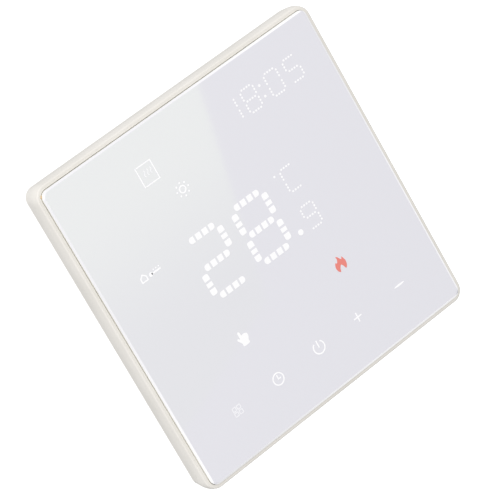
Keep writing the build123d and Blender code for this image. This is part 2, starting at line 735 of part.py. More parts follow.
for number, screw_x in enumerate(terminal_x, start=1):
    with BuildPart() as terminal_screw:
        with BuildSketch(wall.offset(-tongue_depth - tongue_thickness - screw_gap)):
            with Locations((screw_x, terminal_z)):
                Circle(terminal_screw_radius)
        extrude(amount=tongue_depth + tongue_thickness + screw_gap - head_depth)
        with BuildSketch(wall.offset(-head_depth)):
            with Locations((screw_x, terminal_z)):
                Circle(terminal_head_radius)
        extrude(amount=-terminal_head)
        fillet(terminal_screw.faces().sort_by(Axis.Y)[-1].edges(), radius=terminal_head_rounding)
        with BuildSketch(wall.offset(-head_depth - terminal_head)):
            with Locations((screw_x, terminal_z)):
                Rectangle(*terminal_slot)
                Rectangle(*terminal_cross)
        extrude(amount=terminal_slot_depth, mode=Mode.SUBTRACT)
    terminal_screw.part.label = f"terminal_screw_{number}"
    export_step(terminal_screw.part, f"parts/terminal_screw_{number}.step")

    cage_x, cage_y, cage_z = cage_size
    with BuildPart() as terminal_cage:
        with BuildSketch(Plane.XY.offset(terminal_z - cage_z / 2)):
            with Locations((screw_x, cage_front + cage_y / 2)):
                RectangleRounded(cage_x, cage_y, cage_corner)
            with Locations((screw_x, cage_front + (cage_y + cage_floor - cage_roof) / 2)):
                Rectangle(cage_x - 2 * cage_wall, cage_y - cage_floor - cage_roof, mode=Mode.SUBTRACT)
        extrude(amount=cage_z)
        with BuildSketch(wall.offset(-cage_front - cage_floor)):
            with Locations((screw_x, terminal_z)):
                Circle(terminal_screw_radius + screw_gap)
        extrude(amount=cage_floor - cage_y, mode=Mode.SUBTRACT)
    terminal_cage.part.label = f"terminal_cage_{number}"
    export_step(terminal_cage.part, f"parts/terminal_cage_{number}.step")

# ---- relay: the coil pulls the armature, which tips on the yoke's edge and closes the contacts ----

relay_x = -7.0
relay_z = 0.2
relay_size = (29.0, 15.6, 12.7)  # along X, out from the board, and along Z
relay_base_thickness = 1.5
relay_skin = 0.8
relay_rounding = 0.5
relay_foot_gap = 0.2
relay_left = relay_x - relay_size[0] / 2
relay_top = parts_depth + relay_base_thickness
coil_depth = 15.2
coil_left = -19.4
coil_right = -4.4
yoke_depth = 19.6
yoke_thickness = 1.2
yoke_end = -3.6
yoke_half = 4.5
armature_x = -3.4
armature_thickness = 1.0
armature_foot = 8.8
contact_depth = 9.8
contact_radius = 0.9
contact_face_x = -4.9
contact_rivet = 0.5
contact_button = 0.4
contact_spring = (0.6, 3.0)  # sheet thickness and width
contact_overhang = 1.0
core_nose = 0.4
blade_size = (0.2, 4.0)  # sheet thickness and width
blade_end = 0.6
bobbin_flange = 0.8
bobbin_tube_radius = 2.5
bobbin_flange_radius = 4.1
winding_inset = 0.3
core_radius = 1.8

with BuildPart() as relay_base:
    with BuildSketch(wall.offset(-parts_depth)):
        with Locations((relay_x, relay_z)):
            Rectangle(relay_size[0], relay_size[2])
    extrude(amount=-relay_base_thickness)
relay_base.part.label = "relay_base"
export_step(relay_base.part, "parts/relay_base.step")

with BuildPart() as relay_case:
    with BuildSketch(wall.offset(-relay_top)):
        with Locations((relay_x, relay_z)):
            Rectangle(relay_size[0], relay_size[2])
    extrude(amount=relay_base_thickness - relay_size[1])
    fillet(relay_case.faces().sort_by(Axis.Y)[-1].edges(), radius=relay_rounding)
    with BuildSketch(wall.offset(-relay_top)):
        with Locations((relay_x, relay_z)):
            Rectangle(relay_size[0] - 2 * relay_skin, relay_size[2] - 2 * relay_skin)
    extrude(amount=relay_base_thickness - relay_size[1] + relay_skin, mode=Mode.SUBTRACT)
relay_case.part.label = "relay_case"
export_step(relay_case.part, "parts/relay_case.step")

with BuildPart() as relay_bobbin:
    for flange_x in (coil_left, coil_right - bobbin_flange):
        with BuildSketch(Plane.YZ.offset(flange_x)):
            with Locations((coil_depth, relay_z)):
                Circle(bobbin_flange_radius)
        extrude(amount=bobbin_flange)
    with BuildSketch(Plane.YZ.offset(coil_left)):
        with Locations((coil_depth, relay_z)):
            Circle(bobbin_tube_radius)
    extrude(amount=coil_right - coil_left)
    with BuildSketch(Plane.YZ.offset(coil_left)):
        with Locations((coil_depth, relay_z)):
            Circle(core_radius + screw_gap)
    extrude(amount=coil_right - coil_left, mode=Mode.SUBTRACT)
relay_bobbin.part.label = "relay_bobbin"
export_step(relay_bobbin.part, "parts/relay_bobbin.step")

with BuildPart() as relay_coil:
    with BuildSketch(Plane.YZ.offset(coil_left + bobbin_flange)):
        with Locations((coil_depth, relay_z)):
            Circle(bobbin_flange_radius - winding_inset)
            Circle(bobbin_tube_radius, mode=Mode.SUBTRACT)
    extrude(amount=coil_right - coil_left - 2 * bobbin_flange)
relay_coil.part.label = "relay_coil"
export_step(relay_coil.part, "parts/relay_coil.step")

with BuildPart() as relay_yoke:
    # L-shaped iron bracket with the coil's core riveted into its upright.
    yoke_left = coil_left - yoke_thickness
    with BuildSketch(Plane.XY.offset(relay_z - yoke_half)):
        with BuildLine():
            Polyline(
                (yoke_left, relay_top + relay_foot_gap),
                (yoke_left, yoke_depth + yoke_thickness),
                (yoke_end, yoke_depth + yoke_thickness),
                (yoke_end, yoke_depth),
                (coil_left, yoke_depth),
                (coil_left, relay_top + relay_foot_gap),
                close=True,
            )
        make_face()
    extrude(amount=2 * yoke_half)
    with BuildSketch(Plane.YZ.offset(coil_left)):
        with Locations((coil_depth, relay_z)):
            Circle(core_radius)
    extrude(amount=coil_right + core_nose - coil_left)
relay_yoke.part.label = "relay_yoke"
export_step(relay_yoke.part, "parts/relay_yoke.step")

with BuildPart() as relay_armature:
    with BuildSketch(Plane.YZ.offset(armature_x)):
        with Locations(((armature_foot + yoke_depth + yoke_thickness) / 2, relay_z)):
            Rectangle(yoke_depth + yoke_thickness - armature_foot, 2 * yoke_half)
    extrude(amount=armature_thickness)
    with BuildSketch(Plane.YZ.offset(armature_x)):
        with Locations((contact_depth, relay_z)):
            Circle(contact_radius)
    extrude(amount=-contact_rivet)
relay_armature.part.label = "relay_armature"
export_step(relay_armature.part, "parts/relay_armature.step")

with BuildPart() as relay_blade:
    with BuildSketch(Plane.YZ.offset(armature_x + armature_thickness)):
        with Locations(((armature_foot + yoke_depth) / 2, relay_z)):
            Rectangle(yoke_depth - armature_foot - blade_end, blade_size[1])
    extrude(amount=blade_size[0])
relay_blade.part.label = "relay_blade"
export_step(relay_blade.part, "parts/relay_blade.step")

with BuildPart() as relay_contact:
    with BuildSketch(Plane.YZ.offset(contact_face_x - contact_button - contact_spring[0])):
        with Locations(((relay_top + contact_depth + contact_overhang) / 2, relay_z)):
            Rectangle(contact_depth + contact_overhang - relay_top, contact_spring[1])
    extrude(amount=contact_spring[0])
    with BuildSketch(Plane.YZ.offset(contact_face_x - contact_button)):
        with Locations((contact_depth, relay_z)):
            Circle(contact_radius)
    extrude(amount=contact_button)
relay_contact.part.label = "relay_contact"
export_step(relay_contact.part, "parts/relay_contact.step")

# ---- power supply parts on the board ----------------------------------------------------------

transformer_at = (-9.0, 13.4)
core_middle = 6.5  # above the board's parts
core_size = (14.0, 12.0, 5.0)  # along X, out from the board, and along Z
core_window = (3.4, 8.0)
core_window_pitch = 7.6
winding_base = 2.7
winding_size = (10.4, 11.0, 7.6)  # along X, along Z, and out from the board
winding_corner = 1.5
winding_bore = (4.3, 5.1)
can_shapes = [((4.5, 12.8), 4.0, 12.5), ((13.2, 12.0), 3.15, 11.0)]  # middle, radius, length
can_rounding = 0.4
filter_at = (15.2, -4.0)
filter_size = (12.5, 5.0, 11.0)
varistor_x = 14.5
varistor_z = 5.2
varistor_height = 5.4
varistor_radius = 4.6
varistor_thickness = 2.6
varistor_rounding = 0.9
fuse_height = 2.4
fuse_z = 2.2
fuse_ends = [(10.0, 2.0, 2.2), (12.0, 6.0, 2.0), (18.0, 2.0, 2.2)]  # start, length, radius
rectifier_at = (14.0, 3.0)
rectifier_size = (8.0, 6.4, 2.5)
rectifier_corner = 0.4

with BuildPart() as transformer_core:
    with BuildSketch(Plane.XY.offset(transformer_at[1] - core_size[2] / 2)):
        with Locations((transformer_at[0], parts_depth + core_middle)):
            Rectangle(*core_size[:2])
            with GridLocations(core_window_pitch, 1.0, 2, 1):
                Rectangle(*core_window, mode=Mode.SUBTRACT)
    extrude(amount=core_size[2])
transformer_core.part.label = "transformer_core"
export_step(transformer_core.part, "parts/transformer_core.step")

with BuildPart() as transformer_winding:
    with BuildSketch(wall.offset(-parts_depth - winding_base)):
        with Locations(transformer_at):
            RectangleRounded(*winding_size[:2], winding_corner)
            Rectangle(*winding_bore, mode=Mode.SUBTRACT)
    extrude(amount=-winding_size[2])
transformer_winding.part.label = "transformer_winding"
export_step(transformer_winding.part, "parts/transformer_winding.step")

with BuildPart() as electrolytic_capacitors:
    for can_at, can_radius, can_length in can_shapes:
        with BuildSketch(wall.offset(-parts_depth)):
            with Locations(can_at):
                Circle(can_radius)
        extrude(amount=-can_length)
    fillet(electrolytic_capacitors.edges().filter_by(GeomType.CIRCLE), radius=can_rounding)
electrolytic_capacitors.part.label = "electrolytic_capacitors"
export_step(electrolytic_capacitors.part, "parts/electrolytic_capacitors.step")

with BuildPart() as filter_capacitor:
    with BuildSketch(wall.offset(-parts_depth)):
        with Locations(filter_at):
            Rectangle(*filter_size[:2])
    extrude(amount=-filter_size[2])
    fillet(filter_capacitor.faces().sort_by(Axis.Y)[-1].edges(), radius=can_rounding)
filter_capacitor.part.label = "filter_capacitor"
export_step(filter_capacitor.part, "parts/filter_capacitor.step")

with BuildPart() as varistor:
    with BuildSketch(Plane.XY.offset(varistor_z)):
        with Locations((varistor_x, parts_depth + varistor_height)):
            Circle(varistor_radius)
    extrude(amount=varistor_thickness)
    fillet(varistor.edges().filter_by(GeomType.CIRCLE), radius=varistor_rounding)
varistor.part.label = "varistor"
export_step(varistor.part, "parts/varistor.step")

with BuildPart() as fuse:
    for end_x, end_length, end_radius in fuse_ends:
        with BuildSketch(Plane.YZ.offset(end_x)):
            with Locations((parts_depth + fuse_height, fuse_z)):
                Circle(end_radius)
        extrude(amount=end_length)
fuse.part.label = "fuse"
export_step(fuse.part, "parts/fuse.step")

with BuildPart() as rectifier:
    with BuildSketch(wall.offset(-power_board_depth)):
        with Locations(rectifier_at):
            RectangleRounded(*rectifier_size[:2], rectifier_corner)
    extrude(amount=rectifier_size[2])
rectifier.part.label = "rectifier"
export_step(rectifier.part, "parts/rectifier.step")
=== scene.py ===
"""Touch-glass wall thermostat: studio, finishes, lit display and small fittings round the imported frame.

X runs to the right, -Y out of the wall into the room and Z up. Shapes are worked out in millimetres and
turned to metres when a mesh is made.
"""

import json
import math

import bmesh
import bpy
import numpy as np
from mathutils import Matrix, Vector


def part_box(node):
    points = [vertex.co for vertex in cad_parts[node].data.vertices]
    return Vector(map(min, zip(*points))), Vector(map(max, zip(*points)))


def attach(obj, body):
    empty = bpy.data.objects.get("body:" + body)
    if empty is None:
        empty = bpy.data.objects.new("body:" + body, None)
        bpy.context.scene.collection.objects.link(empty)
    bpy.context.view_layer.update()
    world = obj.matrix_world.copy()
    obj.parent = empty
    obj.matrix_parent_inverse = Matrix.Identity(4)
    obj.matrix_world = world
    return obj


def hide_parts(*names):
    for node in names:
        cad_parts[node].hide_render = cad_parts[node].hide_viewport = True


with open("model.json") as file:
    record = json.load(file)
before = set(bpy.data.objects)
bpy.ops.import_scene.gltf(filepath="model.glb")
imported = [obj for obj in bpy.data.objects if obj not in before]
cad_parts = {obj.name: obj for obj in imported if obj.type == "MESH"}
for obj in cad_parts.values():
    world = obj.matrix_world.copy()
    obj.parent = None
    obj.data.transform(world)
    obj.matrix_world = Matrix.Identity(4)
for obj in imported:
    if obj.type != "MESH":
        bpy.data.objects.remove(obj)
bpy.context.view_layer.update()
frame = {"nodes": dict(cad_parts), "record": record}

MM = 0.001
AXIS_X, AXIS_Y, AXIS_Z = np.eye(3)


# ================================ places read from the frame ====================================


def corners(node):
    """Lowest and highest corner of a frame node, in millimetres."""
    low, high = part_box(node)
    return np.array(low) / MM, np.array(high) / MM


glass_low, glass_high = corners("front_glass")
glass_face = glass_low[1]
casing_low = corners("front_frame")[0]
board_low, board_high = corners("display_board")
board_rear = board_high[1]


# ================================ camera and studio =============================================

VIEW_AZIMUTH = -24.2
VIEW_ELEVATION = 15.74
VIEW_ROLL = 29.93
VIEW_DISTANCE = 654.8
VIEW_LENS = 196.8
VIEW_TARGET = (-2.46, casing_low[1] - 0.2, 0.39)


def place_camera():
    """Camera on a sphere round the target, then rolled clockwise about its own axis."""
    turn, lift, roll = map(math.radians, (VIEW_AZIMUTH, VIEW_ELEVATION, VIEW_ROLL))
    back = Vector((math.sin(turn) * math.cos(lift), -math.cos(turn) * math.cos(lift), math.sin(lift)))
    level = Vector((math.cos(turn), math.sin(turn), 0.0))
    upright = back.cross(level)
    right = level * math.cos(roll) - upright * math.sin(roll)
    top = upright * math.cos(roll) + level * math.sin(roll)
    camera = bpy.data.objects.new("camera", bpy.data.cameras.new("camera"))
    camera.data.lens = VIEW_LENS
    camera.data.sensor_width = 36.0
    camera.data.clip_start = 0.01
    camera.data.clip_end = 50.0
    turned = Matrix((right, top, back)).transposed().to_4x4()
    camera.matrix_world = Matrix.Translation((Vector(VIEW_TARGET) + back * VIEW_DISTANCE) * MM) @ turned
    bpy.context.scene.collection.objects.link(camera)
    bpy.context.scene.camera = camera
    return camera


def linear(hex_colour):
    """Linear light from an sRGB hex value, by the sRGB curve."""
    shares = [int(hex_colour[i : i + 2], 16) / 255 for i in (0, 2, 4)]
    return tuple(c / 12.92 if c <= 0.04045 else ((c + 0.055) / 1.055) ** 2.4 for c in shares) + (1.0,)


def add(tree, kind, values=None, feeds=None, **settings):
    """Adds one node: settings are its own choices, values its fixed inputs, feeds what drives it."""
    made = tree.nodes.new("ShaderNode" + kind)
    for name, value in settings.items():
        setattr(made, name, value)
    for name, value in (values or {}).items():
        made.inputs[name].default_value = value
    for name, socket in (feeds or {}).items():
        tree.links.new(socket, made.inputs[name])
    return made


def flat_mesh(name, points, faces, material):
    """A stage sheet from its corner points, in millimetres."""
    mesh = bpy.data.meshes.new(name)
    mesh.from_pydata([tuple(np.array(p) * MM) for p in points], [], faces)
    mesh.materials.append(material)
    made = bpy.data.objects.new(name, mesh)
    bpy.context.scene.collection.objects.link(made)
    return made


FLOOR_HEIGHT = -260.0
FLOOR_HALF = 9000.0


def make_floor():
    """Plain pale table of opal acrylic, faintly lit from below; the object gets none of its light."""
    material = bpy.data.materials.new("opal_acrylic_table")
    material.use_nodes = True
    tree = material.node_tree
    tree.nodes.clear()
    sheet = add(tree, "BsdfDiffuse", {"Color": linear("F8F8F8")})
    glow = add(tree, "Emission", {"Color": linear("FFFFFF"), "Strength": 0.3})
    both = add(tree, "AddShader", feeds={0: sheet.outputs[0], 1: glow.outputs[0]})
    add(tree, "OutputMaterial", feeds={"Surface": both.outputs[0]})
    half = FLOOR_HALF
    ring = [(-half, -half), (half, -half), (half, half), (-half, half)]
    floor = flat_mesh("floor", [(x, y, FLOOR_HEIGHT) for x, y in ring], [(0, 1, 2, 3)], material)
    floor.visible_diffuse = False
    floor.visible_glossy = False


SKY_MIDDLE = 0.77
SKY_SWING = (-0.21, -0.15, 0.36)


def make_sky():
    """Soft room light: its strength is a middle value plus the share of the direction along the swing."""
    world = bpy.data.worlds.new("soft_room")
    bpy.context.scene.world = world
    world.use_nodes = True
    tree = world.node_tree
    tree.nodes.clear()
    direction = add(tree, "TexCoord").outputs["Generated"]
    share = add(tree, "VectorMath", {1: SKY_SWING}, {0: direction}, operation="DOT_PRODUCT")
    total = add(tree, "Math", {1: SKY_MIDDLE}, {0: share.outputs["Value"]}, operation="ADD")
    air = add(tree, "Background", {"Color": linear("FFFFFF")}, {"Strength": total.outputs[0]})
    add(tree, "OutputWorld", feeds={"Surface": air.outputs[0]})


def make_lamp(name, place, size, watts, colour="FFFFFF"):
    """Square soft light that faces the middle of the object."""
    lamp = bpy.data.objects.new(name, bpy.data.lights.new(name, "AREA"))
    lamp.data.shape = "SQUARE"
    lamp.data.size = size * MM
    lamp.data.energy = watts
    lamp.data.color = linear(colour)[:3]
    lamp.location = Vector(place) * MM
    lamp.rotation_euler = (-lamp.location).to_track_quat("-Z", "Y").to_euler()
    bpy.context.scene.collection.objects.link(lamp)


CARD_SCALE = 1.9
# Where the card's corners show on the glass (x, z).
CARD_IMAGE = ((-52.0, 60.0), (11.6, 60.0), (-5.3, -12.0), (-52.0, -30.0))
CARD_STRENGTH = 2.25
CARD_FADE_FROM = 34.0
CARD_FADE_TO = -8.0


def make_card(camera):
    """Reflector card seen in the glass: its corners lie on mirrored sight lines through CARD_IMAGE."""
    eye = np.array(camera.matrix_world.translation) / MM
    mirrored = np.array((eye[0], 2 * glass_face - eye[1], eye[2]))
    on_glass = np.array([(x, glass_face, z) for x, z in CARD_IMAGE])
    points = mirrored + CARD_SCALE * (on_glass - mirrored)
    fade = [mirrored[2] + CARD_SCALE * (z - mirrored[2]) for z in (CARD_FADE_TO, CARD_FADE_FROM)]
    material = bpy.data.materials.new("lit_card")
    material.use_nodes = True
    tree = material.node_tree
    tree.nodes.clear()
    place = add(tree, "TexCoord").outputs["Object"]
    height = add(tree, "SeparateXYZ", feeds={0: place}).outputs["Z"]
    run = {"From Min": fade[0] * MM, "From Max": fade[1] * MM}
    run.update({"To Min": SKY_MIDDLE, "To Max": CARD_STRENGTH})
    glow = add(tree, "MapRange", run, {"Value": height}, interpolation_type="SMOOTHSTEP")
    light = add(tree, "Emission", {"Color": linear("ECFFC4")}, {"Strength": glow.outputs[0]})
    add(tree, "OutputMaterial", feeds={"Surface": light.outputs[0]})
    card = flat_mesh("card", points, [(0, 1, 2, 3)], material)
    card.visible_camera = False
    card.visible_diffuse = False
    card.visible_shadow = False


bpy.context.scene.view_settings.view_transform = "Standard"
main_camera = place_camera()
make_floor()
make_sky()
make_card(main_camera)
make_lamp("front_softbox", (-500.0, -900.0, 350.0), 700.0, 3.2, "FFFBF6")
make_lamp("side_softbox", (-260.0, 0.0, 160.0), 120.0, 0.02, "FFF8F0")


# ================================ surfaces: shapes ==============================================


def unit(vectors):
    """The same directions at length one."""
    return vectors / np.maximum(np.linalg.norm(vectors, axis=-1, keepdims=True), 1e-12)


def lofted(rings, closed=False):
    """Points and faces of solids given as (solid, ring, point, xyz): quads join each ring to the next one.

    A closed run of rings ends where it began; an open one is shut by its first and last ring.
    """
    solids, count, around, _ = rings.shape
    index = np.arange(solids * count * around).reshape(solids, count, around)
    ahead = np.roll(index, -1, axis=1) if closed else index[:, 1:]
    here = index if closed else index[:, :-1]
    quads = np.stack([here, np.roll(here, -1, axis=2), np.roll(ahead, -1, axis=2), ahead], axis=-1)
    faces = quads.reshape(-1, 4).tolist()
    if not closed:
        faces += index[:, 0].tolist() + index[:, -1].tolist()
    return rings.reshape(-1, 3), faces


def on_plane(points, y):
    """Flat points (x, z) lifted to the plane at y."""
    points = np.asarray(points, float)
    return np.stack([points[..., 0], np.full(points.shape[:-1], y), points[..., 1]], axis=-1)


def prism(outlines, rear, front):
    """Flat outlines (solid, point, xz) drawn out along Y from rear to front."""
    outlines = np.asarray(outlines, float)
    if outlines.ndim == 2:
        outlines = outlines[None]
    return lofted(np.stack([on_plane(outlines, y) for y in (rear, front)], axis=1))


def strip(paths, fixed, fixed_size, cross_size, closed=False):
    """Rectangular bars carried along paths: one side of the section keeps the fixed direction.

    The other side is square to it and to the path, and is longer at a corner by one over the cosine of
    half the turn, so that the bar keeps its width.
    """
    paths = np.asarray(paths, float)
    if paths.ndim == 2:
        paths = paths[None]
    if closed:
        after = np.roll(paths, -1, axis=1) - paths
        before = np.roll(after, 1, axis=1)
    else:
        steps = np.diff(paths, axis=1)
        after = np.concatenate([steps, steps[:, -1:]], axis=1)
        before = np.concatenate([steps[:, :1], steps], axis=1)
    side_before, side_after = unit(np.cross(before, fixed)), unit(np.cross(after, fixed))
    side = unit(side_before + side_after)
    side = side / np.maximum((side * side_before).sum(-1, keepdims=True), 0.3)
    signs = ((-1, -1), (1, -1), (1, 1), (-1, 1))
    rings = [paths + side * cross_size / 2 * a + fixed * fixed_size / 2 * b for a, b in signs]
    return lofted(np.stack(rings, axis=2), closed)


def tube(paths, radius, fixed, sides=10, closed=False):
    """Round bars carried along paths: each ring is a circle square to the path."""
    paths = np.asarray(paths, float)
    if paths.ndim == 2:
        paths = paths[None]
    along = np.gradient(paths, axis=1)
    if closed:
        along = np.roll(paths, -1, axis=1) - np.roll(paths, 1, axis=1)
    side = unit(np.cross(along, fixed))
    up = unit(np.cross(side, along))
    angle = np.linspace(0, 2 * np.pi, sides, endpoint=False)
    radius = np.broadcast_to(np.asarray(radius, float), paths.shape[:2])[..., None, None]
    circle = side[:, :, None] * np.cos(angle)[:, None] + up[:, :, None] * np.sin(angle)[:, None]
    return lofted(paths[:, :, None] + radius * circle, closed)


def rounded(centres, sizes, radii, steps=5):
    """Rectangles with quarter-circle corners as (solid, point, xz), anticlockwise from the upper right."""
    centres, sizes, radii = (np.atleast_2d(np.asarray(v, float)) for v in (centres, sizes, radii))
    signs = np.array(((1, 1), (-1, 1), (-1, -1), (1, -1)))
    angle = np.linspace(0, np.pi / 2, steps) + np.arange(4)[:, None] * np.pi / 2
    arc = np.stack([np.cos(angle), np.sin(angle)], axis=-1)
    middle = centres[:, None] + signs * (sizes[:, None] / 2 - radii[..., None])
    points = middle[:, :, None] + radii[..., None, None] * arc
    return points.reshape(len(points), -1, 2)


def smooth_outline(points, steps=6):
    """Closed Catmull-Rom curve: each span is the cubic set by its two points and their neighbours."""
    points = np.asarray(points, float)
    before, here, after, beyond = (np.roll(points, k, axis=0)[:, None] for k in (1, 0, -1, -2))
    t = np.linspace(0, 1, steps, endpoint=False)[:, None]
    curve = 2 * here + (after - before) * t + (2 * before - 5 * here + 4 * after - beyond) * t**2
    curve = curve + (3 * here - before - 3 * after + beyond) * t**3
    return curve.reshape(-1, 2) / 2


def arc(centre, radius, start, end, steps=24):
    """Points (x, z) on a circle from one angle to another, in degrees."""
    angle = np.radians(np.linspace(start, end, steps))
    return np.stack([centre[0] + radius * np.cos(angle), centre[1] + radius * np.sin(angle)], axis=-1)


def piece(name, shapes, material, body, sharp_angle=35.0):
    """Joins shapes into one mesh at the origin, faces outwards, and lets it ride on its body."""
    points, faces, shift = [], [], 0
    for shape_points, shape_faces in shapes:
        points.append(shape_points)
        faces += [[i + shift for i in face] for face in shape_faces]
        shift += len(shape_points)
    mesh = bpy.data.meshes.new(name)
    mesh.from_pydata((np.concatenate(points) * MM).tolist(), [], faces)
    work = bmesh.new()
    work.from_mesh(mesh)
    bmesh.ops.recalc_face_normals(work, faces=work.faces)
    work.to_mesh(mesh)
    work.free()
    mesh.shade_smooth()
    mesh.set_sharp_from_angle(angle=math.radians(sharp_angle))
    mesh.materials.append(material)
    made = bpy.data.objects.new(name, mesh)
    bpy.context.scene.collection.objects.link(made)
    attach(made, body)
    return made


# ================================ finishes ======================================================


def per_mm(size):
    """Texture scale whose lumps are about size millimetres across, for coordinates in metres."""
    return 1.0 / (size * MM)


BAND_SHARE = 0.3125  # a wave texture draws 20 radians to the unit, so its bands are about this far apart


def per_band(size):
    """Wave texture scale whose bands are size millimetres apart."""
    return per_mm(size / BAND_SHARE)


def started(name, colour, roughness, **fixed):
    """A new Principled material with its tree, its shader and the place on the piece."""
    material = bpy.data.materials.new(name)
    material.use_nodes = True
    tree = material.node_tree
    tree.nodes.clear()
    values = {"Base Color": linear(colour), "Roughness": roughness}
    values.update({key.replace("_", " "): value for key, value in fixed.items()})
    shader = add(tree, "BsdfPrincipled", values)
    add(tree, "OutputMaterial", feeds={"Surface": shader.outputs[0]})
    place = add(tree, "TexCoord").outputs["Object"]
    return material, tree, shader, place


def tint(tree, shader, share, low, high):
    """Lets the base colour run from low to high as share goes from 0 to 1."""
    mixed = add(tree, "Mix", {6: linear(low), 7: linear(high)}, {0: share}, data_type="RGBA")
    tree.links.new(mixed.outputs[2], shader.inputs["Base Color"])
    return mixed.outputs[2]


def polish(tree, shader, share, low, high):
    """Lets the roughness run from low to high as share goes from 0 to 1."""
    spread = add(tree, "MapRange", {"To Min": low, "To Max": high}, {"Value": share})
    tree.links.new(spread.outputs[0], shader.inputs["Roughness"])


def raise_surface(tree, shader, height, depth):
    """Raises the surface by height, 0 to 1, times depth in millimetres."""
    relief = add(tree, "Bump", {"Strength": 1.0, "Distance": depth * MM}, {"Height": height})
    tree.links.new(relief.outputs[0], shader.inputs["Normal"])


def speckled(name, colours, roughness, grain, depth, blotch=12.0, stretch=(1.0, 1.0, 1.0), **fixed):
    """A moulded, cast or plated surface: fine grain in the relief, slow blotches in colour and polish."""
    material, tree, shader, place = started(name, colours[0], roughness[0], **fixed)
    mapped = add(tree, "Mapping", {"Scale": stretch}, {"Vector": place}).outputs[0]
    fine = add(tree, "TexNoise", {"Scale": per_mm(grain), "Detail": 3.0}, {"Vector": mapped}).outputs[0]
    slow = add(tree, "TexNoise", {"Scale": per_mm(blotch), "Detail": 2.0}, {"Vector": place}).outputs[0]
    both = add(tree, "Math", feeds={0: fine, 1: slow, 2: slow}, operation="MULTIPLY_ADD")
    blotched = add(tree, "MapRange", {"From Min": 0.35, "From Max": 0.95}, {"Value": both.outputs[0]})
    share = blotched.outputs[0]
    tint(tree, shader, share, *colours)
    polish(tree, shader, share, *roughness)
    raise_surface(tree, shader, fine, depth)
    return material, tree, shader, place


BEVEL_SIZE = (0.5, 0.3)  # across the face, and down the edge
BEVEL_STEP = 0.02  # the bevel's finish starts this far outside its inner line
# strength of the bevel's painted glow at its brightest, at the lower right corner
BEVEL_PAINTED_GLOW = 0.11
GLASS_WHITE = "E0E0E7"


def float_glass():
    """Float glass printed white on its back: mirror smooth and cool, with a ground bevel and a pale edge.

    The bevel's white, a painted highlight, and its faint painted glow grow from upper left to lower right.
    """
    white = linear(GLASS_WHITE)
    material, tree, shader, place = started("back_printed_float_glass", GLASS_WHITE, 0.03, IOR=1.52)
    shader.inputs["Emission Color"].default_value = linear("FFFFFF")
    offset = add(tree, "VectorMath", feeds={0: place}, operation="ABSOLUTE").outputs[0]
    parts = add(tree, "SeparateXYZ", feeds={0: offset})
    reach = add(tree, "Math", feeds={0: parts.outputs["X"], 1: parts.outputs["Z"]}, operation="MAXIMUM")
    inner = (glass_high[0] - BEVEL_SIZE[0] - BEVEL_STEP) * MM
    rim = add(tree, "Math", {1: inner}, {0: reach.outputs[0]}, operation="GREATER_THAN").outputs[0]
    lower_right = add(tree, "VectorMath", {1: (1.0, 0.0, -1.0)}, {0: place}, operation="DOT_PRODUCT")
    reach_of_run = 1.1 * glass_high[0] * MM
    run = {"From Min": -reach_of_run, "From Max": reach_of_run}
    corner = add(tree, "MapRange", run, {"Value": lower_right.outputs["Value"]}).outputs[0]
    # painted highlight: the bevel's colour runs from grey at the upper left to white at the lower right
    bright = add(tree, "Mix", {6: linear("E6E6EA"), 7: linear("FAFAFD")}, {0: corner}, data_type="RGBA")
    ground = add(tree, "Mix", {6: white}, {0: rim, 7: bright.outputs[2]}, data_type="RGBA").outputs[2]
    # painted glow: the bevel gives off faint light growing towards the lower right, though it is no lamp
    carried = add(tree, "Math", feeds={0: rim, 1: corner}, operation="MULTIPLY").outputs[0]
    painted_glow = add(tree, "Math", {1: BEVEL_PAINTED_GLOW}, {0: carried}, operation="MULTIPLY").outputs[0]
    tree.links.new(painted_glow, shader.inputs["Emission Strength"])
    behind = -(glass_face + BEVEL_SIZE[1] + BEVEL_STEP) * MM
    edge = add(tree, "Math", {1: behind}, {0: parts.outputs["Y"]}, operation="LESS_THAN").outputs[0]
    whole = add(tree, "Mix", {7: linear("EFEDE4")}, {0: edge, 6: ground}, data_type="RGBA")
    tree.links.new(whole.outputs[2], shader.inputs["Base Color"])
    smears = add(tree, "TexNoise", {"Scale": per_mm(9.0), "Detail": 4.0}, {"Vector": place})
    polish(tree, shader, smears.outputs[0], 0.015, 0.05)
    return material


def casing_plastic():
    """ABS and polycarbonate blend from a satin mould: warm white, fine grain, soft broad highlights."""
    colours = ("DDDAD4", "E2DFDA")
    return speckled("satin_abs_polycarbonate", colours, (0.34, 0.44), 0.18, 0.004, IOR=1.54)[0]


def foam_tape():
    """Black acrylic foam tape: matt, with an open pore of about a quarter millimetre."""
    return speckled("acrylic_foam_tape", ("17171A", "26262A"), (0.8, 0.95), 0.25, 0.02)[0]


def polyester_film():
    """White polyester film: matt and even, with a faint cloud."""
    return speckled("matt_polyester_film", ("EEEEF1", "F6F6F8"), (0.5, 0.6), 0.1, 0.001, IOR=1.57)[0]


def reflector_plastic():
    """Titanium-filled polycarbonate: the whitest and glossiest moulding in the unit."""
    colours = ("F2F2F0", "FAFAF8")
    return speckled("bright_white_polycarbonate", colours, (0.22, 0.32), 0.2, 0.002, IOR=1.58)[0]


def lit_window(name, colour, strength):
    """A clear window in the print with a diode behind it: even glow with a faint diffuser grain."""
    material, tree, shader, place = started(name, colour, 0.45, Emission_Color=linear(colour))
    shader.inputs["Emission Strength"].default_value = strength
    grain = add(tree, "TexNoise", {"Scale": per_mm(0.35), "Detail": 2.0}, {"Vector": place})
    polish(tree, shader, grain.outputs[0], 0.35, 0.5)
    raise_surface(tree, shader, grain.outputs[0], 0.003)
    return material


def drawn_wire(name, colours, roughness):
    """Drawn wire: bright metal with fine lines along the draw, here laid round the coil's axis."""
    return speckled(name, colours, roughness, 0.12, 0.003, stretch=(1.0, 6.0, 1.0), Metallic=1.0)[0]


def plated_steel(name, colours, roughness, grain=0.12):
    """Plated steel: metal sheen broken by a fine crystalline grain and slow passivation blotches."""
    return speckled(name, colours, roughness, grain, 0.004, blotch=4.0, Metallic=1.0)[0]


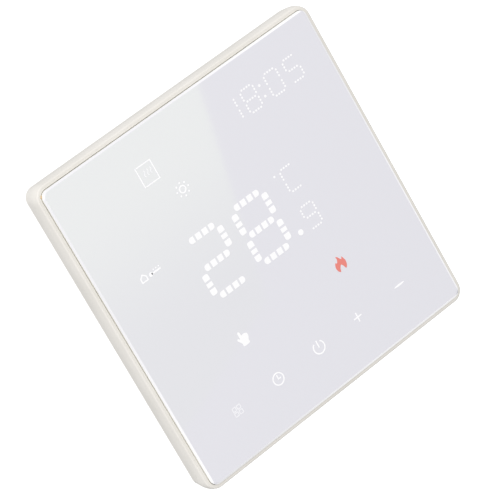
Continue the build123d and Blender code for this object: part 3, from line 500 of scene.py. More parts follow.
def galvanised_sheet():
    """Hot-dip galvanised sheet: spangles about 3 mm across, each with its own grey and its own polish."""
    material, tree, shader, place = started("galvanised_sheet_steel", "B4B8BB", 0.4, Metallic=1.0)
    spangle = add(tree, "TexVoronoi", {"Scale": per_mm(3.0)}, {"Vector": place}).outputs["Color"]
    grey = add(tree, "SeparateXYZ", feeds={0: spangle}).outputs[0]
    tint(tree, shader, grey, "AEB2B5", "C2C5C7")
    polish(tree, shader, grey, 0.34, 0.44)
    frost = add(tree, "TexNoise", {"Scale": per_mm(0.25), "Detail": 4.0}, {"Vector": place})
    raise_surface(tree, shader, frost.outputs[0], 0.006)
    return material


def solder_mask(name, board, track):
    """Solder mask on glass epoxy: glossy lacquer over a weave that just shows in the relief.

    The weave is drawn 1 mm apart, twice the real pitch, so that it shows.
    """
    coat = {"Coat_Weight": 0.4, "Coat_Roughness": 0.12}
    material, tree, shader, place = started(name, board, 0.28, IOR=1.5, **coat)
    cloud = add(tree, "TexNoise", {"Scale": per_mm(7.0), "Detail": 2.0}, {"Vector": place}).outputs[0]
    tint(tree, shader, cloud, board, track)
    polish(tree, shader, cloud, 0.2, 0.36)
    across, upward = (
        add(tree, "TexWave", {"Scale": per_band(1.0)}, {"Vector": place}, bands_direction=way)
        for way in ("X", "Z")
    )
    weave = add(tree, "Math", feeds={0: across.outputs[1], 1: upward.outputs[1]}, operation="MULTIPLY")
    raise_surface(tree, shader, weave.outputs[0], 0.008)
    return material


def box_plastic():
    """Polycarbonate from a spark-eroded mould: matt, with an even orange-peel grain of about 0.4 mm."""
    colours = ("DBDCDA", "E4E5E3")
    return speckled("spark_eroded_polycarbonate", colours, (0.52, 0.66), 0.4, 0.02, IOR=1.58)[0]


def nylon(name, colours, roughness=(0.42, 0.56)):
    """Glass-filled nylon: slightly waxy, with short fibres showing as a fine grain."""
    return speckled(name, colours, roughness, 0.22, 0.008, stretch=(1.0, 1.0, 2.5), IOR=1.53)[0]


def enamelled_copper():
    """Enamelled copper winding: rows of wire under a clear amber varnish.

    The rows are drawn 0.5 mm apart, twice the real pitch, so that they show.
    """
    fixed = {"Metallic": 1.0, "Coat_Weight": 0.6}
    material, tree, shader, place = started("enamelled_copper", "B5652F", 0.3, **fixed)
    pitch = {"Scale": per_band(0.5), "Distortion": 0.6}
    rows = add(tree, "TexWave", pitch, {"Vector": place}, bands_direction="X")
    tint(tree, shader, rows.outputs[1], "7E3A18", "C9753A")
    polish(tree, shader, rows.outputs[1], 0.22, 0.4)
    raise_surface(tree, shader, rows.outputs[1], 0.05)
    return material


CAN_SHORTEST = 4.0  # every can is taller than this


def capacitor_sleeve(can_low):
    """Shrink sleeve on aluminium cans: dark gloss on the sides, bare brushed metal on the flat tops."""
    material, tree, shader, place = started("sleeved_aluminium_can", "15192A", 0.3, IOR=1.5)
    normal = add(tree, "NewGeometry").outputs["Normal"]
    facing = add(tree, "SeparateXYZ", feeds={0: normal}).outputs["Y"]
    depth = add(tree, "SeparateXYZ", feeds={0: place}).outputs["Y"]
    top = add(tree, "Math", {1: 0.9}, {0: facing}, operation="GREATER_THAN")
    high = add(tree, "Math", {1: (can_low[1] + CAN_SHORTEST) * MM}, {0: depth}, operation="GREATER_THAN")
    both = {0: top.outputs[0], 1: high.outputs[0]}
    bare = add(tree, "Math", feeds=both, operation="MULTIPLY").outputs[0]
    tint(tree, shader, bare, "171C30", "C4C6C8")
    tree.links.new(bare, shader.inputs["Metallic"])
    grain = add(tree, "TexNoise", {"Scale": per_mm(0.3), "Detail": 2.0}, {"Vector": place}).outputs[0]
    polish(tree, shader, grain, 0.24, 0.38)
    raise_surface(tree, shader, grain, 0.004)
    return material


FUSE_CAP_FROM = 2.98  # from the middle of the fuse to its caps


def fuse_glass(fuse_low, fuse_high):
    """Glass tube between plated caps: the caps are the two end stretches, the middle is pale glass."""
    material, tree, shader, place = started("fuse_glass_and_caps", "D9DEDB", 0.12, IOR=1.52)
    middle = (fuse_low[0] + fuse_high[0]) / 2
    along = add(tree, "SeparateXYZ", feeds={0: place}).outputs["X"]
    away = add(tree, "Math", {1: middle * MM}, {0: along}, operation="SUBTRACT")
    away = add(tree, "Math", feeds={0: away.outputs[0]}, operation="ABSOLUTE")
    inner = {1: FUSE_CAP_FROM * MM}
    cap = add(tree, "Math", inner, {0: away.outputs[0]}, operation="GREATER_THAN").outputs[0]
    tint(tree, shader, cap, "E3E8E4", "BFC1C2")
    tree.links.new(cap, shader.inputs["Metallic"])
    grain = add(tree, "TexNoise", {"Scale": per_mm(0.5)}, {"Vector": place}).outputs[0]
    polish(tree, shader, grain, 0.08, 0.3)
    return material


white_glow = lit_window("lit_white_window", "F6F6F8", 0.03)
dim_glow = lit_window("dim_white_window", "F5F5F7", 0.03)
key_glow = lit_window("lit_key_window", "F8F8FA", 0.03)
# the menu cells are unlit print: the faint emission of this material is a painted glow
print_with_painted_glow = lit_window("print_with_painted_glow", "F0F0F4", 0.02)
flame_glow = lit_window("lit_red_window", "E07F76", 0.08)

finish = {
    "tinted_glass": float_glass(),
    "adhesive_foam": foam_tape(),
    "white_plastic": casing_plastic(),
    "white_film": polyester_film(),
    "reflector_white": reflector_plastic(),
    "led_emitter": lit_window("phosphor_diode", "FFF6E4", 0.6),
    "spring_steel": drawn_wire("drawn_spring_steel", ("A7A9A8", "C8C9C7"), (0.22, 0.34)),
    "board_laminate": solder_mask("green_solder_mask", "0E4A2A", "146238"),
    "radio_laminate": solder_mask("black_solder_mask", "10131C", "1A1F2C"),
    "zinc_steel": plated_steel("zinc_plated_steel", ("A9ADB2", "CDD0D3"), (0.26, 0.42)),
    "black_epoxy": speckled("moulded_black_epoxy", ("18181A", "242427"), (0.5, 0.68), 0.15, 0.006)[0],
    "nickel_can": plated_steel("nickel_plated_sheet", ("B5B2A9", "D2CFC6"), (0.18, 0.32), 0.3),
    "steel_cell": plated_steel("drawn_stainless_steel", ("BFC0C0", "D9D9D8"), (0.12, 0.26), 0.4),
    "black_plastic": nylon("black_glass_nylon", ("131315", "1F1F22")),
    "galvanised_steel": galvanised_sheet(),
    "light_grey_plastic": box_plastic(),
    "gold_brass": plated_steel("gold_flashed_bronze", ("D9A63E", "F0C766"), (0.14, 0.26)),
    "terminal_nylon": nylon("green_terminal_nylon", ("23663A", "2F7A48")),
    "tinned_brass": plated_steel("tinned_brass", ("BDBAB0", "D6D3CA"), (0.24, 0.4)),
    "relay_plastic": nylon("blue_polyester_moulding", ("17407C", "1F4E92"), (0.26, 0.38)),
    "bobbin_plastic": nylon("natural_nylon", ("DCD8C8", "E8E4D6")),
    "copper_wire": enamelled_copper(),
    "soft_iron": plated_steel("nickel_plated_iron", ("8B8C8D", "A9AAAB"), (0.3, 0.46)),
    "ferrite": speckled("sintered_ferrite", ("1E1E20", "2C2C2E"), (0.6, 0.78), 0.2, 0.02)[0],
    "winding_tape": speckled("yellow_polyester_tape", ("D9B53A", "E6C552"), (0.24, 0.36), 1.2, 0.02)[0],
    "capacitor_sleeve": capacitor_sleeve(corners("electrolytic_capacitors")[0]),
    "yellow_epoxy_box": speckled("yellow_polyester_box", ("CBA02C", "DDB440"), (0.36, 0.5), 0.3, 0.008)[0],
    "blue_epoxy": speckled("blue_dipped_epoxy", ("1B4F9C", "2762B4"), (0.2, 0.34), 1.4, 0.05)[0],
    "fuse_glass": fuse_glass(*corners("fuse")),
}

for subpart in frame["record"]["subparts"]:
    for held in frame["nodes"][subpart["node"]].material_slots:
        held.material = finish[subpart["material_slot"]]


# ================================ lit display ===================================================

WINDOW_RISE = 0.03  # the windows stand this far proud, so that they show on the printed glass
window_front = glass_face - WINDOW_RISE

# Which of the seven bars each digit lights: (column, row) from the digit's centre, in halves.
LEVEL_TOP, LEVEL_MIDDLE, LEVEL_BOTTOM = (0, 1), (0, 0), (0, -1)
LEFT_UPPER, LEFT_LOWER, RIGHT_UPPER, RIGHT_LOWER = (-1, 0.5), (-1, -0.5), (1, 0.5), (1, -0.5)
LIT_BARS = {
    "0": (LEVEL_TOP, LEVEL_BOTTOM, LEFT_UPPER, LEFT_LOWER, RIGHT_UPPER, RIGHT_LOWER),
    "1": (RIGHT_UPPER, RIGHT_LOWER),
    "2": (LEVEL_TOP, LEVEL_MIDDLE, LEVEL_BOTTOM, RIGHT_UPPER, LEFT_LOWER),
    "3": (LEVEL_TOP, LEVEL_MIDDLE, LEVEL_BOTTOM, RIGHT_UPPER, RIGHT_LOWER),
    "4": (LEVEL_MIDDLE, LEFT_UPPER, RIGHT_UPPER, RIGHT_LOWER),
    "5": (LEVEL_TOP, LEVEL_MIDDLE, LEVEL_BOTTOM, LEFT_UPPER, RIGHT_LOWER),
    "6": (LEVEL_TOP, LEVEL_MIDDLE, LEVEL_BOTTOM, LEFT_UPPER, LEFT_LOWER, RIGHT_LOWER),
    "8": (LEVEL_TOP, LEVEL_MIDDLE, LEVEL_BOTTOM, LEFT_UPPER, LEFT_LOWER, RIGHT_UPPER, RIGHT_LOWER),
    "9": (LEVEL_TOP, LEVEL_MIDDLE, LEVEL_BOTTOM, LEFT_UPPER, RIGHT_UPPER, RIGHT_LOWER),
    "C": (LEVEL_TOP, LEVEL_BOTTOM, LEFT_UPPER, LEFT_LOWER),
}

# Size over the middles of the bars; for each bar the length of an inner block, its width, the number of
# blocks, and how much longer an end block is; and the gap between blocks.
BIG_DIGIT = {
    "size": (9.65, 15.25),
    "level": (1.54, 1.66, 4, 0.0),
    "upright": (1.15, 1.74, 3, 0.5),
    "gap": 0.54,
}
SMALL_DIGIT = {
    "size": (3.95, 6.1),
    "level": (0.57, 0.5, 4, 0.0),
    "upright": (0.57, 0.5, 3, 0.0),
    "gap": 0.25,
}
SQUARE_CORNER = 0.12


def bar_outlines(centre, upright, bar, gap):
    """A bar cut into blocks laid end to end; the outer corners of its two end blocks are rounded."""
    block, width, count, extra = bar
    lengths = np.full(count, block)
    if count > 1:
        lengths[[0, -1]] += extra
    ends = np.cumsum(lengths + gap) - gap
    steps = ends - lengths / 2 - ends[-1] / 2
    rounding = min(block, width) * 0.48
    radii = np.full((count, 4), SQUARE_CORNER if width > 1.0 or count == 1 else rounding)
    radii[-1, [0, 3]] = rounding
    radii[0, [1, 2]] = rounding
    places = np.stack([steps, np.zeros(count)], axis=-1)
    sizes = np.stack([lengths, np.full(count, width)], axis=-1)
    outlines = rounded(places, sizes, radii)
    return np.asarray(centre) + (outlines[..., ::-1] if upright else outlines)


def digit_outlines(character, centre, style, mirror=1):
    """All lit bars of a seven-bar digit, as one list of block outlines."""
    half_width, half_height = style["size"][0] * mirror / 2, style["size"][1] / 2
    outlines = []
    for column, row in LIT_BARS[character]:
        upright = column != 0
        bar = style["upright" if upright else "level"]
        place = (centre[0] + column * half_width, centre[1] + row * half_height)
        outlines.append(bar_outlines(place, upright, bar, style["gap"]))
    return outlines


def windows(outlines):
    """Outlines on the glass drawn out to the height of a lit window."""
    return [prism(outline, glass_face, window_front) for outline in outlines]


def dots(centres, diameter):
    """Round windows."""
    centres = np.atleast_2d(np.asarray(centres, float))
    sizes = np.full(centres.shape, diameter)
    circles = rounded(centres, sizes, np.full((len(centres), 4), diameter / 2))
    return prism(circles, glass_face, window_front)


def line(points, width, closed=False):
    """A drawn line of even width on the glass."""
    middle = (glass_face + window_front) / 2
    return strip(on_plane(points, middle), AXIS_Y, WINDOW_RISE, width, closed)


def clock_reading():
    """Time of day in small dotted digits with a colon."""
    shapes = []
    for character, x in (("1", 11.15), ("8", 17.36), ("0", 24.93), ("5", 31.13)):
        shapes += windows(digit_outlines(character, (x, 30.68), SMALL_DIGIT))
    return shapes + [dots(((20.93, 32.18), (20.93, 29.18)), 0.7)]


def temperature_reading():
    """Measured temperature in big block digits with its decimal point."""
    shapes = []
    for character, x in (("2", -11.47), ("8", 2.93)):
        shapes += windows(digit_outlines(character, (x, 3.43), BIG_DIGIT))
    return shapes + [dots((11.29, -3.57), 1.5)]


def tenths_and_unit():
    """Tenths digit with the degree unit above it."""
    shapes = windows(digit_outlines("9", (16.03, -1.64), SMALL_DIGIT))
    shapes += windows(digit_outlines("C", (16.18, 8.98), SMALL_DIGIT))
    return shapes + [dots((12.43, 11.58), 0.6)]


def program_mark(centre=(-15.77, 30.68), size=(4.5, 5.05), stroke=0.28):
    """Boxed symbol with its two left corners open, and three heat waves inside."""
    x, z = centre
    half_width, half_height = size[0] / 2, size[1] / 2
    left, right, low, high = x - half_width, x + half_width, z - half_height, z + half_height
    shapes = [
        line([(left + 0.35, high), (right, high), (right, low), (left + 0.35, low)], stroke),
        line([(left, high + 0.1), (left, low - 0.1)], stroke),
    ]
    rise = np.linspace(-0.8, 0.8, 13)
    for k in (-1, 0, 1):
        wave = np.stack([x + 0.3 + 0.95 * k + 0.22 * np.sin(rise * 4.0), z + 0.3 + rise], axis=-1)
        shapes.append(line(wave, 0.15))
    return shapes


def sun_mark(centre=(-9.97, 22.58), ring=0.86, rays=1.72):
    """A ring with eight dots round it."""
    angle = np.arange(8) * np.pi / 4
    around = np.array(centre) + rays * np.stack([np.cos(angle), np.sin(angle)], axis=-1)
    return [line(arc(centre, ring, 0, 345), 0.32, closed=True), dots(around, 0.48)]


def room_mark(centre=(-27.57, 10.63)):
    """House with a thermometer lying beside it, for the air sensor."""
    x, z = centre
    house = [(-3.3, -0.85), (-1.6, -0.85), (-1.6, 0.1), (-2.45, 0.9), (-3.3, 0.1)]
    shapes = [line([(x + a, z + b) for a, b in house], 0.3, closed=True)]
    shapes.append(line([(x - 0.2, z - 0.3), (x + 2.6, z - 0.3)], 0.42))
    shapes.append(dots((x - 0.35, z - 0.3), 1.05))
    marks = [(x + step, z + 0.42) for step in (0.75, 1.55, 2.35)]
    return shapes + [dots(marks, 0.34)]


HAND_OUTLINE = (
    (1.05, -1.95), (1.2, -1.2), (1.62, -0.3), (1.6, 0.45), (1.1, 0.75), (0.5, 0.85), (0.0, 0.8),
    (-0.12, 1.6), (-0.45, 1.95), (-0.78, 1.6), (-0.82, 0.15), (-1.25, 0.5), (-1.62, 0.3), (-1.5, -0.15),
    (-0.85, -1.1), (-0.72, -1.95),
)
FLAME_OUTLINE = (
    (1.0, -2.05), (1.6, -1.4), (1.85, -0.3), (1.6, 0.75), (1.25, 1.35), (1.05, 0.8), (0.7, 0.95),
    (0.25, 1.7), (-0.35, 2.15), (-0.3, 1.3), (-0.75, 0.5), (-1.25, 0.75), (-1.75, -0.4), (-1.55, -1.5),
    (-0.95, -2.1), (-0.6, -1.2), (0.1, -0.45), (0.6, -1.2),
)


def filled_mark(outline, centre, size):
    """A filled symbol from a smooth closed curve through a few points."""
    return [prism(size * smooth_outline(outline) + np.array(centre), glass_face, window_front)]


KEY_HEIGHT = -29.72
MENU_X, TIMER_X, POWER_X, PLUS_X, MINUS_X = -26.47, -13.17, 0.33, 13.33, 27.53


def key_marks():
    """Timer, power, plus and minus symbols of the touch keys."""
    timer, power = (TIMER_X, KEY_HEIGHT), (POWER_X, KEY_HEIGHT)
    hands = [(TIMER_X, KEY_HEIGHT + 1.05), (TIMER_X, KEY_HEIGHT), (TIMER_X + 0.8, KEY_HEIGHT)]
    stem = [(POWER_X, KEY_HEIGHT - 0.1), (POWER_X, KEY_HEIGHT + 1.85)]
    arm, half = 1.25, 0.17
    plus = [(arm, -half), (arm, half), (half, half), (half, arm), (-half, arm), (-half, half)]
    plus = np.array(plus + [(-a, -b) for a, b in plus]) + (PLUS_X, KEY_HEIGHT)
    half_minus = [(-1.65, 0.0), (-1.2, -0.16), (0.0, -0.25), (1.2, -0.16)]
    minus = smooth_outline(half_minus + [(-a, -b) for a, b in half_minus])
    return [
        line(arc(timer, 1.52, 0, 352, 40), 0.32, closed=True),
        line(hands, 0.3),
        line(arc(power, 1.62, 125, 415, 36), 0.34),
        line(stem, 0.34),
        prism(plus, glass_face, window_front),
        prism(minus + np.array((MINUS_X, KEY_HEIGHT)), glass_face, window_front),
    ]


def menu_mark():
    """Four small cells of the menu key, left unlit; their material gives them a faint painted glow."""
    shapes = []
    for column in (-1, 1):
        for row in (-1, 1):
            cell = rounded((MENU_X + column * 0.7, KEY_HEIGHT + row * 0.68), (1.0, 0.96), (0.1,) * 4, 3)[0]
            shapes.append(line(cell, 0.2, closed=True))
    return shapes


for mark_name, mark, glow in (
    ("clock_reading", clock_reading(), dim_glow),
    ("temperature_reading", temperature_reading(), white_glow),
    ("tenths_and_unit", tenths_and_unit(), dim_glow),
    ("program_mark", program_mark(), key_glow),
    ("sun_mark", sun_mark(), key_glow),
    ("room_mark", room_mark(), key_glow),
    ("hand_mark", filled_mark(HAND_OUTLINE, (-15.87, -15.96), 0.97), white_glow),
    ("flame_mark", filled_mark(FLAME_OUTLINE, (16.33, -15.92), 0.92), flame_glow),
    ("key_marks", key_marks(), key_glow),
    ("menu_mark", menu_mark(), print_with_painted_glow),
):
    piece(mark_name, mark, glow, "display_unit")


# ================================ small fittings ================================================


def box_shapes(centres, size, y_low, y_high, corner=0.04):
    """Small blocks of one size with their corners rounded, standing from y_low to y_high."""
    centres = np.atleast_2d(np.asarray(centres, float))
    sizes = np.broadcast_to(np.asarray(size, float), centres.shape)
    return prism(rounded(centres, sizes, np.full((len(centres), 4), corner), 3), y_low, y_high)


def spread(count, pitch):
    """Equally spaced places either side of zero."""
    return (np.arange(count) - (count - 1) / 2) * pitch


def side_by_side(points, shifts):
    """Copies of a flat path moved square to itself: at a corner, the shift over the half turn's cosine."""
    points = np.asarray(points, float)
    steps = unit(np.diff(points, axis=0))
    steps = np.concatenate([steps[:1], steps, steps[-1:]])
    square = np.stack([-steps[:, 1], steps[:, 0]], axis=-1)
    middle = unit(square[:-1] + square[1:])
    middle = middle / (middle * square[1:]).sum(-1, keepdims=True)
    return points + np.asarray(shifts)[:, None, None] * middle


GLASS_CORNER, GLASS_GAP = 2.0, 0.12
GLUE_ARC = (137, 163)
GLUE_THIN, GLUE_THICK = 0.05, 0.25


def glue_bead():
    """Bead of clear glue squeezed out at the glass's upper left corner, thickest in its middle."""
    gap_middle = glass_high[0] + GLASS_GAP / 2
    centre = (GLASS_CORNER - glass_high[0], glass_high[2] - GLASS_CORNER)
    path = on_plane(arc(centre, gap_middle + centre[0], *GLUE_ARC, 17), casing_low[1] - 0.02)
    thickness = GLUE_THIN + (GLUE_THICK - GLUE_THIN) * np.sin(np.linspace(0.0, np.pi, len(path)))
    return [tube(path, thickness[None], AXIS_Y, 10)]


KEY_COLUMNS = (MENU_X, TIMER_X, POWER_X, PLUS_X, MINUS_X)
SPRING_RADIUS, SPRING_WIRE, SPRING_TURNS = 2.6, 0.2, 3.0


def key_springs():
    """Compression springs: a helix whose pitch dies out over the last half turn at each end."""
    base = board_low[1] - SPRING_WIRE
    rise = glass_high[1] + 0.2 - base + SPRING_WIRE
    turns = np.linspace(-0.6, SPRING_TURNS + 0.6, 120)
    climbed = np.clip(turns / SPRING_TURNS, 0.0, 1.0)
    angle = 2 * np.pi * turns
    x = SPRING_RADIUS * np.cos(angle) + np.array(KEY_COLUMNS)[:, None]
    z = SPRING_RADIUS * np.sin(angle) + np.full((len(KEY_COLUMNS), 1), KEY_HEIGHT)
    y = np.broadcast_to(base + rise * climbed * climbed * (3 - 2 * climbed), x.shape)
    return [tube(np.stack([x, y, z], axis=-1), SPRING_WIRE, AXIS_Y, 8)]


LEAD_BODY = {"microcontroller": 3.5, "driver_chips": 2.0}  # from a chip's middle to its leads
CONTROLLER_LEADS = (8, 0.65)  # count on a side, and pitch
DRIVER_LEADS = (5, 1.2)


def chip_leads(node, across, leads, places=None):
    """Gull-wing leads: out of the body at mid height, down to the board and out again in a flat foot."""
    count = leads[0]
    low, high = corners(node)
    places = [((low[0] + high[0]) / 2, (low[2] + high[2]) / 2)] if places is None else places
    half = LEAD_BODY[node]
    top = high[1] - board_rear
    out = half + np.array((-0.1, 0.25, 0.45, 0.95))
    rise = board_rear + np.array((0.55 * top, 0.55 * top, 0.08, 0.08))
    shapes = []
    for x, z in places:
        for side in (-1, 1):
            step = np.broadcast_to(spread(*leads)[:, None], (count, 4))
            away = np.broadcast_to(side * out, (count, 4))
            height = np.broadcast_to(rise, (count, 4))
            first, second = (away, step) if across == "x" else (step, away)
            paths = np.stack([x + first, height, z + second], axis=-1)
            shapes.append(strip(paths, AXIS_Z if across == "x" else AXIS_X, 0.3, 0.13))
    return shapes


CONTROLLER_AT = (-5.0, 27.5)
DRIVERS_AT = ((17.0, 27.0), (26.0, 27.0))
CHIP_ROWS_AT = ((-18.0, 27.0), (0.0, -25.0))
PAD_RISE = 0.04


def chip_places():
    """Middles of the small chips: two rows of four at each place."""
    columns, rows = np.meshgrid(spread(4, 2.4), spread(2, 3.2))
    offsets = np.stack([columns.ravel(), rows.ravel()], axis=-1)
    return np.concatenate([offsets + np.array(place) for place in CHIP_ROWS_AT])


def chip_ends():
    """Tinned ends of the small chips, wrapped 0.02 mm over their faces, each on a solder pad."""
    shapes = []
    for side in (-1, 1):
        ends = chip_places() + (0.0, side * 0.72)
        pads = chip_places() + (0.0, side * 0.97)
        shapes.append(box_shapes(ends, (0.94, 0.3), board_rear, board_rear + 0.92))
        shapes.append(box_shapes(pads, (1.1, 0.8), board_rear, board_rear + 0.05))
    return shapes


def lead_pads():
    """Solder pads under the gull-wing feet, and round test points."""
    top = board_rear + PAD_RISE
    feet = spread(*CONTROLLER_LEADS)
    x_middle, z_middle = CONTROLLER_AT
    shapes = []
    for side in (-1, 1):
        level = np.stack([x_middle + feet, np.full(len(feet), z_middle + side * 4.2)], axis=-1)
        upright = np.stack([np.full(len(feet), x_middle + side * 4.2), z_middle + feet], axis=-1)
        shapes.append(box_shapes(level, (0.4, 1.1), board_rear, top))
        shapes.append(box_shapes(upright, (1.1, 0.4), board_rear, top))
        for x, z in DRIVERS_AT:
            rows = z + spread(*DRIVER_LEADS)
            upright = np.stack([np.full(len(rows), x + side * 2.7), rows], axis=-1)
            shapes.append(box_shapes(upright, (1.1, 0.5), board_rear, top))
    points = np.stack([-24.0 + spread(6, 2.6), np.full(6, -14.0)], axis=-1)
    shapes.append(box_shapes(points, (1.4, 1.4), board_rear, top, 0.69))
    return shapes


# Bundles of tracks on the board: the line they follow, how many, and their pitch. They keep clear of the
# two openings round the wall screws.
TRACK_WIDTH = 0.26
TRACKS = (
    (((-5.0, -5.0), (-5.0, -11.5), (-21.0, -27.5), (-28.0, -27.5)), 4, 0.6),
    (((4.0, -8.0), (4.0, -14.0), (14.0, -24.0), (26.0, -24.0)), 5, 0.6),
    (((-1.0, -8.0), (-1.0, -21.0)), 4, 0.7),
    (((-3.0, -4.0), (-1.6, -2.6), (-1.6, 15.0), (-5.0, 18.4), (-5.0, 23.2)), 5, 0.6),
    (((20.0, 27.0), (23.0, 27.0)), 5, 1.2),
    (((-0.8, 30.0), (1.5, 32.3), (10.0, 32.3), (14.0, 28.3)), 4, 0.6),
    (((-9.2, 27.5), (-13.9, 27.5)), 6, 0.6),
    (((29.0, 26.0), (37.8, 17.2), (37.8, -9.2), (31.0, -16.0), (31.0, -36.0)), 3, 0.6),
    (((17.5, 22.5), (17.5, 18.0), (20.5, 15.0), (20.5, 1.0), (10.0, -9.5), (10.0, -13.0)), 4, 0.6),
    (((-22.5, 27.0), (-26.0, 23.5), (-26.0, 12.0), (-21.2, 7.2), (-21.2, -10.5)), 4, 0.6),
)


def board_tracks():
    """Copper tracks under the lacquer: bundles of flat ribbons with their corners cut at 45 degrees."""
    shapes = []
    for points, count, pitch in TRACKS:
        paths = side_by_side(points, spread(count, pitch))
        shapes.append(strip(on_plane(paths, board_rear + PAD_RISE / 2), AXIS_Y, PAD_RISE, TRACK_WIDTH))
    return shapes


def radio_antenna():
    """Meander antenna: a square wave along the free end of the radio board, and its edge pads."""
    low, high = corners("radio_board")
    x_places = np.repeat(np.linspace(low[0] + 1.6, high[0] - 1.6, 12), 2)
    step = np.arange(24)
    z_places = np.where(step // 2 % 2 == step % 2, high[2] - 4.4, high[2] - 0.9)
    path = np.stack([x_places, z_places], axis=-1)
    shapes = [strip(on_plane(path, high[1] + PAD_RISE / 2), AXIS_Y, PAD_RISE, 0.45)]
    rows = low[2] + 1.6 + np.arange(8) * 1.5
    for x in (low[0], high[0]):
        pads = np.stack([np.full(8, x), rows], axis=-1)
        shapes.append(box_shapes(pads, (1.2, 0.8), low[1], high[1] + 0.03))
    return shapes


def cell_marks():
    """Rolled rim of the coin cell and the raised cross of its positive side."""
    low, high = corners("coin_cell")
    centre = np.array(((low[0] + high[0]) / 2, (low[2] + high[2]) / 2))
    rim = on_plane(arc(centre, 5.55, 0, 354, 72), high[1])
    cross = centre + (0.0, 3.6)
    return [
        tube(rim, 0.12, AXIS_Y, 8, closed=True),
        box_shapes(cross, (1.5, 0.4), high[1] - 0.05, high[1] + 0.06),
        box_shapes(cross, (0.4, 1.5), high[1] - 0.05, high[1] + 0.06),
    ]


NUMBER_BARS = {
    "size": (1.05, 1.9),
    "level": (0.9, 0.3, 1, 0.0),
    "upright": (0.72, 0.3, 1, 0.0),
    "gap": 0.0,
}
NUMBER_HEIGHT = -10.2
BOX_WALL = 1.6  # the box's skin over the terminal block
TERMINAL_X = spread(6, 6.6)


def terminal_numbers():
    """Hot-stamped numbers over the terminal screws, the right way round for someone behind the unit."""
    face = corners("terminal_block")[1][1] + BOX_WALL
    shapes = []
    for number, x in enumerate(TERMINAL_X, start=1):
        for outline in digit_outlines(str(number), (x, NUMBER_HEIGHT), NUMBER_BARS, mirror=-1):
            shapes.append(prism(outline, face - 0.02, face + 0.06))
    return shapes


LABEL_AT = (0.0, 8.0)
LABEL_SIZE = (32.0, 19.0)
LABEL_THICK = 0.08


def blank_label():
    """Blank film label on the back of the power unit, 0.08 mm thick with rounded corners."""
    face = corners("power_box")[1][1]
    return [box_shapes(LABEL_AT, LABEL_SIZE, face, face + LABEL_THICK, 1.5)]


# Links of the wiring symbols, in millimetres from the first terminal's ring.
DIAGRAM_LINKS = (
    ((20.0, 6.0), (20.0, 7.6), (20.8, 7.6)),
    ((25.0, 6.0), (25.0, 7.6), (24.2, 7.6)),
    ((10.0, 6.0), (10.0, 7.6), (11.2, 7.6), (13.7, 9.0)),
    ((15.0, 6.0), (15.0, 7.6), (13.8, 7.6)),
    ((0.0, 6.0), (0.0, 7.6), (1.0, 7.6)),
    ((5.0, 6.0), (5.0, 7.6), (4.0, 7.6)),
)
DIAGRAM_PITCH = 5.0
RESISTOR_BOX = ((1.0, 6.9), (4.0, 6.9), (4.0, 8.3), (1.0, 8.3))


def wiring_diagram():
    """Printed wiring symbols on the label: mains wave, switch contact and resistor between terminals."""
    face = corners("power_box")[1][1] + LABEL_THICK + 0.01
    left, base = LABEL_AT[0] - 2.5 * DIAGRAM_PITCH, LABEL_AT[1] - 6.0

    def printed(points, width=0.3, closed=False):
        """A printed line on the label, from points in the diagram's own frame."""
        return strip(on_plane(np.asarray(points) + (left, base), face), AXIS_Y, 0.03, width, closed)

    shapes = []
    for column in range(6):
        x = DIAGRAM_PITCH * column
        shapes.append(printed(arc((x, 0.0), 0.7, 0, 345, 20), 0.25, True))
        shapes.append(printed([(x, 0.8), (x, 6.0)]))
    wave = np.linspace(0.0, 2 * np.pi, 25)
    shapes.append(printed(np.stack([21.2 + wave * 0.42, 7.6 + 0.9 * np.sin(wave)], axis=-1)))
    shapes += [printed(link) for link in DIAGRAM_LINKS]
    shapes.append(printed(RESISTOR_BOX, 0.25, True))
    return shapes


THREAD_FROM, THREAD_TURNS, THREAD_PITCH, THREAD_RADIUS = 12.9, 11.4, 0.5, 1.43


def screw_thread(x, z):
    """Rolled thread: a helix of 0.5 mm pitch along the screw's shank."""
    turns = np.linspace(0.0, THREAD_TURNS, 11 * 24)
    angle = 2 * np.pi * turns
    across, upward = THREAD_RADIUS * np.cos(angle), THREAD_RADIUS * np.sin(angle)
    path = np.stack([x + across, THREAD_FROM + THREAD_PITCH * turns, z + upward], axis=-1)
    return [tube(path, 0.055, AXIS_Y, 6)]


WIRE_PITCH = 0.28


def coil_turns():
    """Top layer of the relay's winding: a close helix of wire round the bobbin's axis along X."""
    low, high = corners("relay_coil")
    depth, level, radius = (low[1] + high[1]) / 2, (low[2] + high[2]) / 2, (high[1] - low[1]) / 2
    count = int((high[0] - low[0] - 0.3) / WIRE_PITCH)
    angle = np.linspace(0.0, 2 * np.pi * count, count * 28)
    x = np.linspace(low[0] + 0.15, high[0] - 0.15, len(angle))
    path = np.stack([x, depth + radius * np.cos(angle), level + radius * np.sin(angle)], axis=-1)
    return [tube(path, 0.13, AXIS_X, 6)]


def film_label():
    """Matt polyester label film: even white with the faint tooth of a printable coat."""
    colours = ("F0F0EE", "F6F6F5")
    return speckled("printable_polyester_label", colours, (0.45, 0.55), 0.3, 0.002, IOR=1.57)[0]


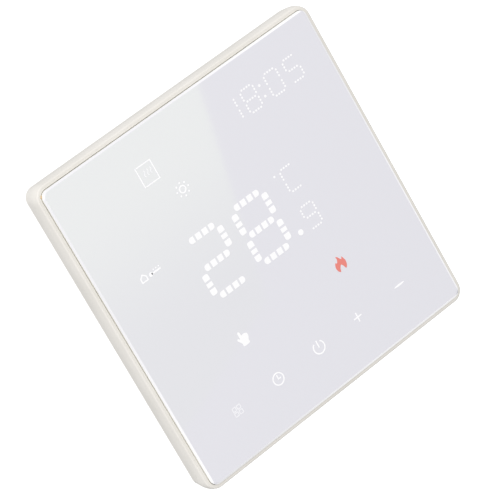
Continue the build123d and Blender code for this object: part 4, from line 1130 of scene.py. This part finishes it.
def clear_glue():
    """Set contact glue: amber and clear, with a smooth wet gloss."""
    colours = ("C6A577", "D4BB92")
    return speckled("amber_contact_glue", colours, (0.12, 0.24), 0.6, 0.01, Coat_Weight=0.5)[0]


def covered_copper():
    """Copper track under green solder mask: paler than the laminate beside it, and as glossy."""
    colours = ("1C6B3C", "267D49")
    return speckled("solder_mask_over_copper", colours, (0.2, 0.32), 0.5, 0.002, Coat_Weight=0.4)[0]


def printing_ink():
    """Black screen-printing ink: matt, with slightly ragged cover."""
    return speckled("black_screen_ink", ("1C1C1E", "2E2E31"), (0.55, 0.7), 0.2, 0.002)[0]


controller_leads = chip_leads("microcontroller", "x", CONTROLLER_LEADS)
controller_leads += chip_leads("microcontroller", "z", CONTROLLER_LEADS)
driver_leads = chip_leads("driver_chips", "x", DRIVER_LEADS, DRIVERS_AT)
tinned, ink = finish["tinned_brass"], printing_ink()

piece("glue_bead", glue_bead(), clear_glue(), "display_unit")
springs = piece("key_springs", key_springs(), finish["spring_steel"], "display_unit")
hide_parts("touch_springs")

for fitting_name, fitting, surface, body, slot in (
    ("controller_leads", controller_leads, tinned, "display_unit", "tinned_brass"),
    ("driver_leads", driver_leads, tinned, "display_unit", "tinned_brass"),
    ("chip_ends", chip_ends(), tinned, "display_unit", "tinned_brass"),
    ("lead_pads", lead_pads(), tinned, "display_unit", "tinned_brass"),
    ("board_tracks", board_tracks(), covered_copper(), "display_unit", "board_laminate"),
    ("radio_antenna", radio_antenna(), finish["gold_brass"], "display_unit", "gold_brass"),
    ("cell_marks", cell_marks(), finish["steel_cell"], "display_unit", "steel_cell"),
    ("terminal_numbers", terminal_numbers(), ink, "root", "black_plastic"),
    ("blank_label", blank_label(), film_label(), "root", "white_film"),
    ("wiring_diagram", wiring_diagram(), ink, "root", "black_plastic"),
    ("coil_turns", coil_turns(), finish["copper_wire"], "root", "copper_wire"),
):
    piece(fitting_name, fitting, surface, body)

for number, x in enumerate(TERMINAL_X, start=1):
    low, high = corners(f"terminal_screw_{number}")
    thread = screw_thread(x, (low[2] + high[2]) / 2)
    piece(f"screw_thread_{number}", thread, finish["zinc_steel"], f"terminal_screw_{number}")
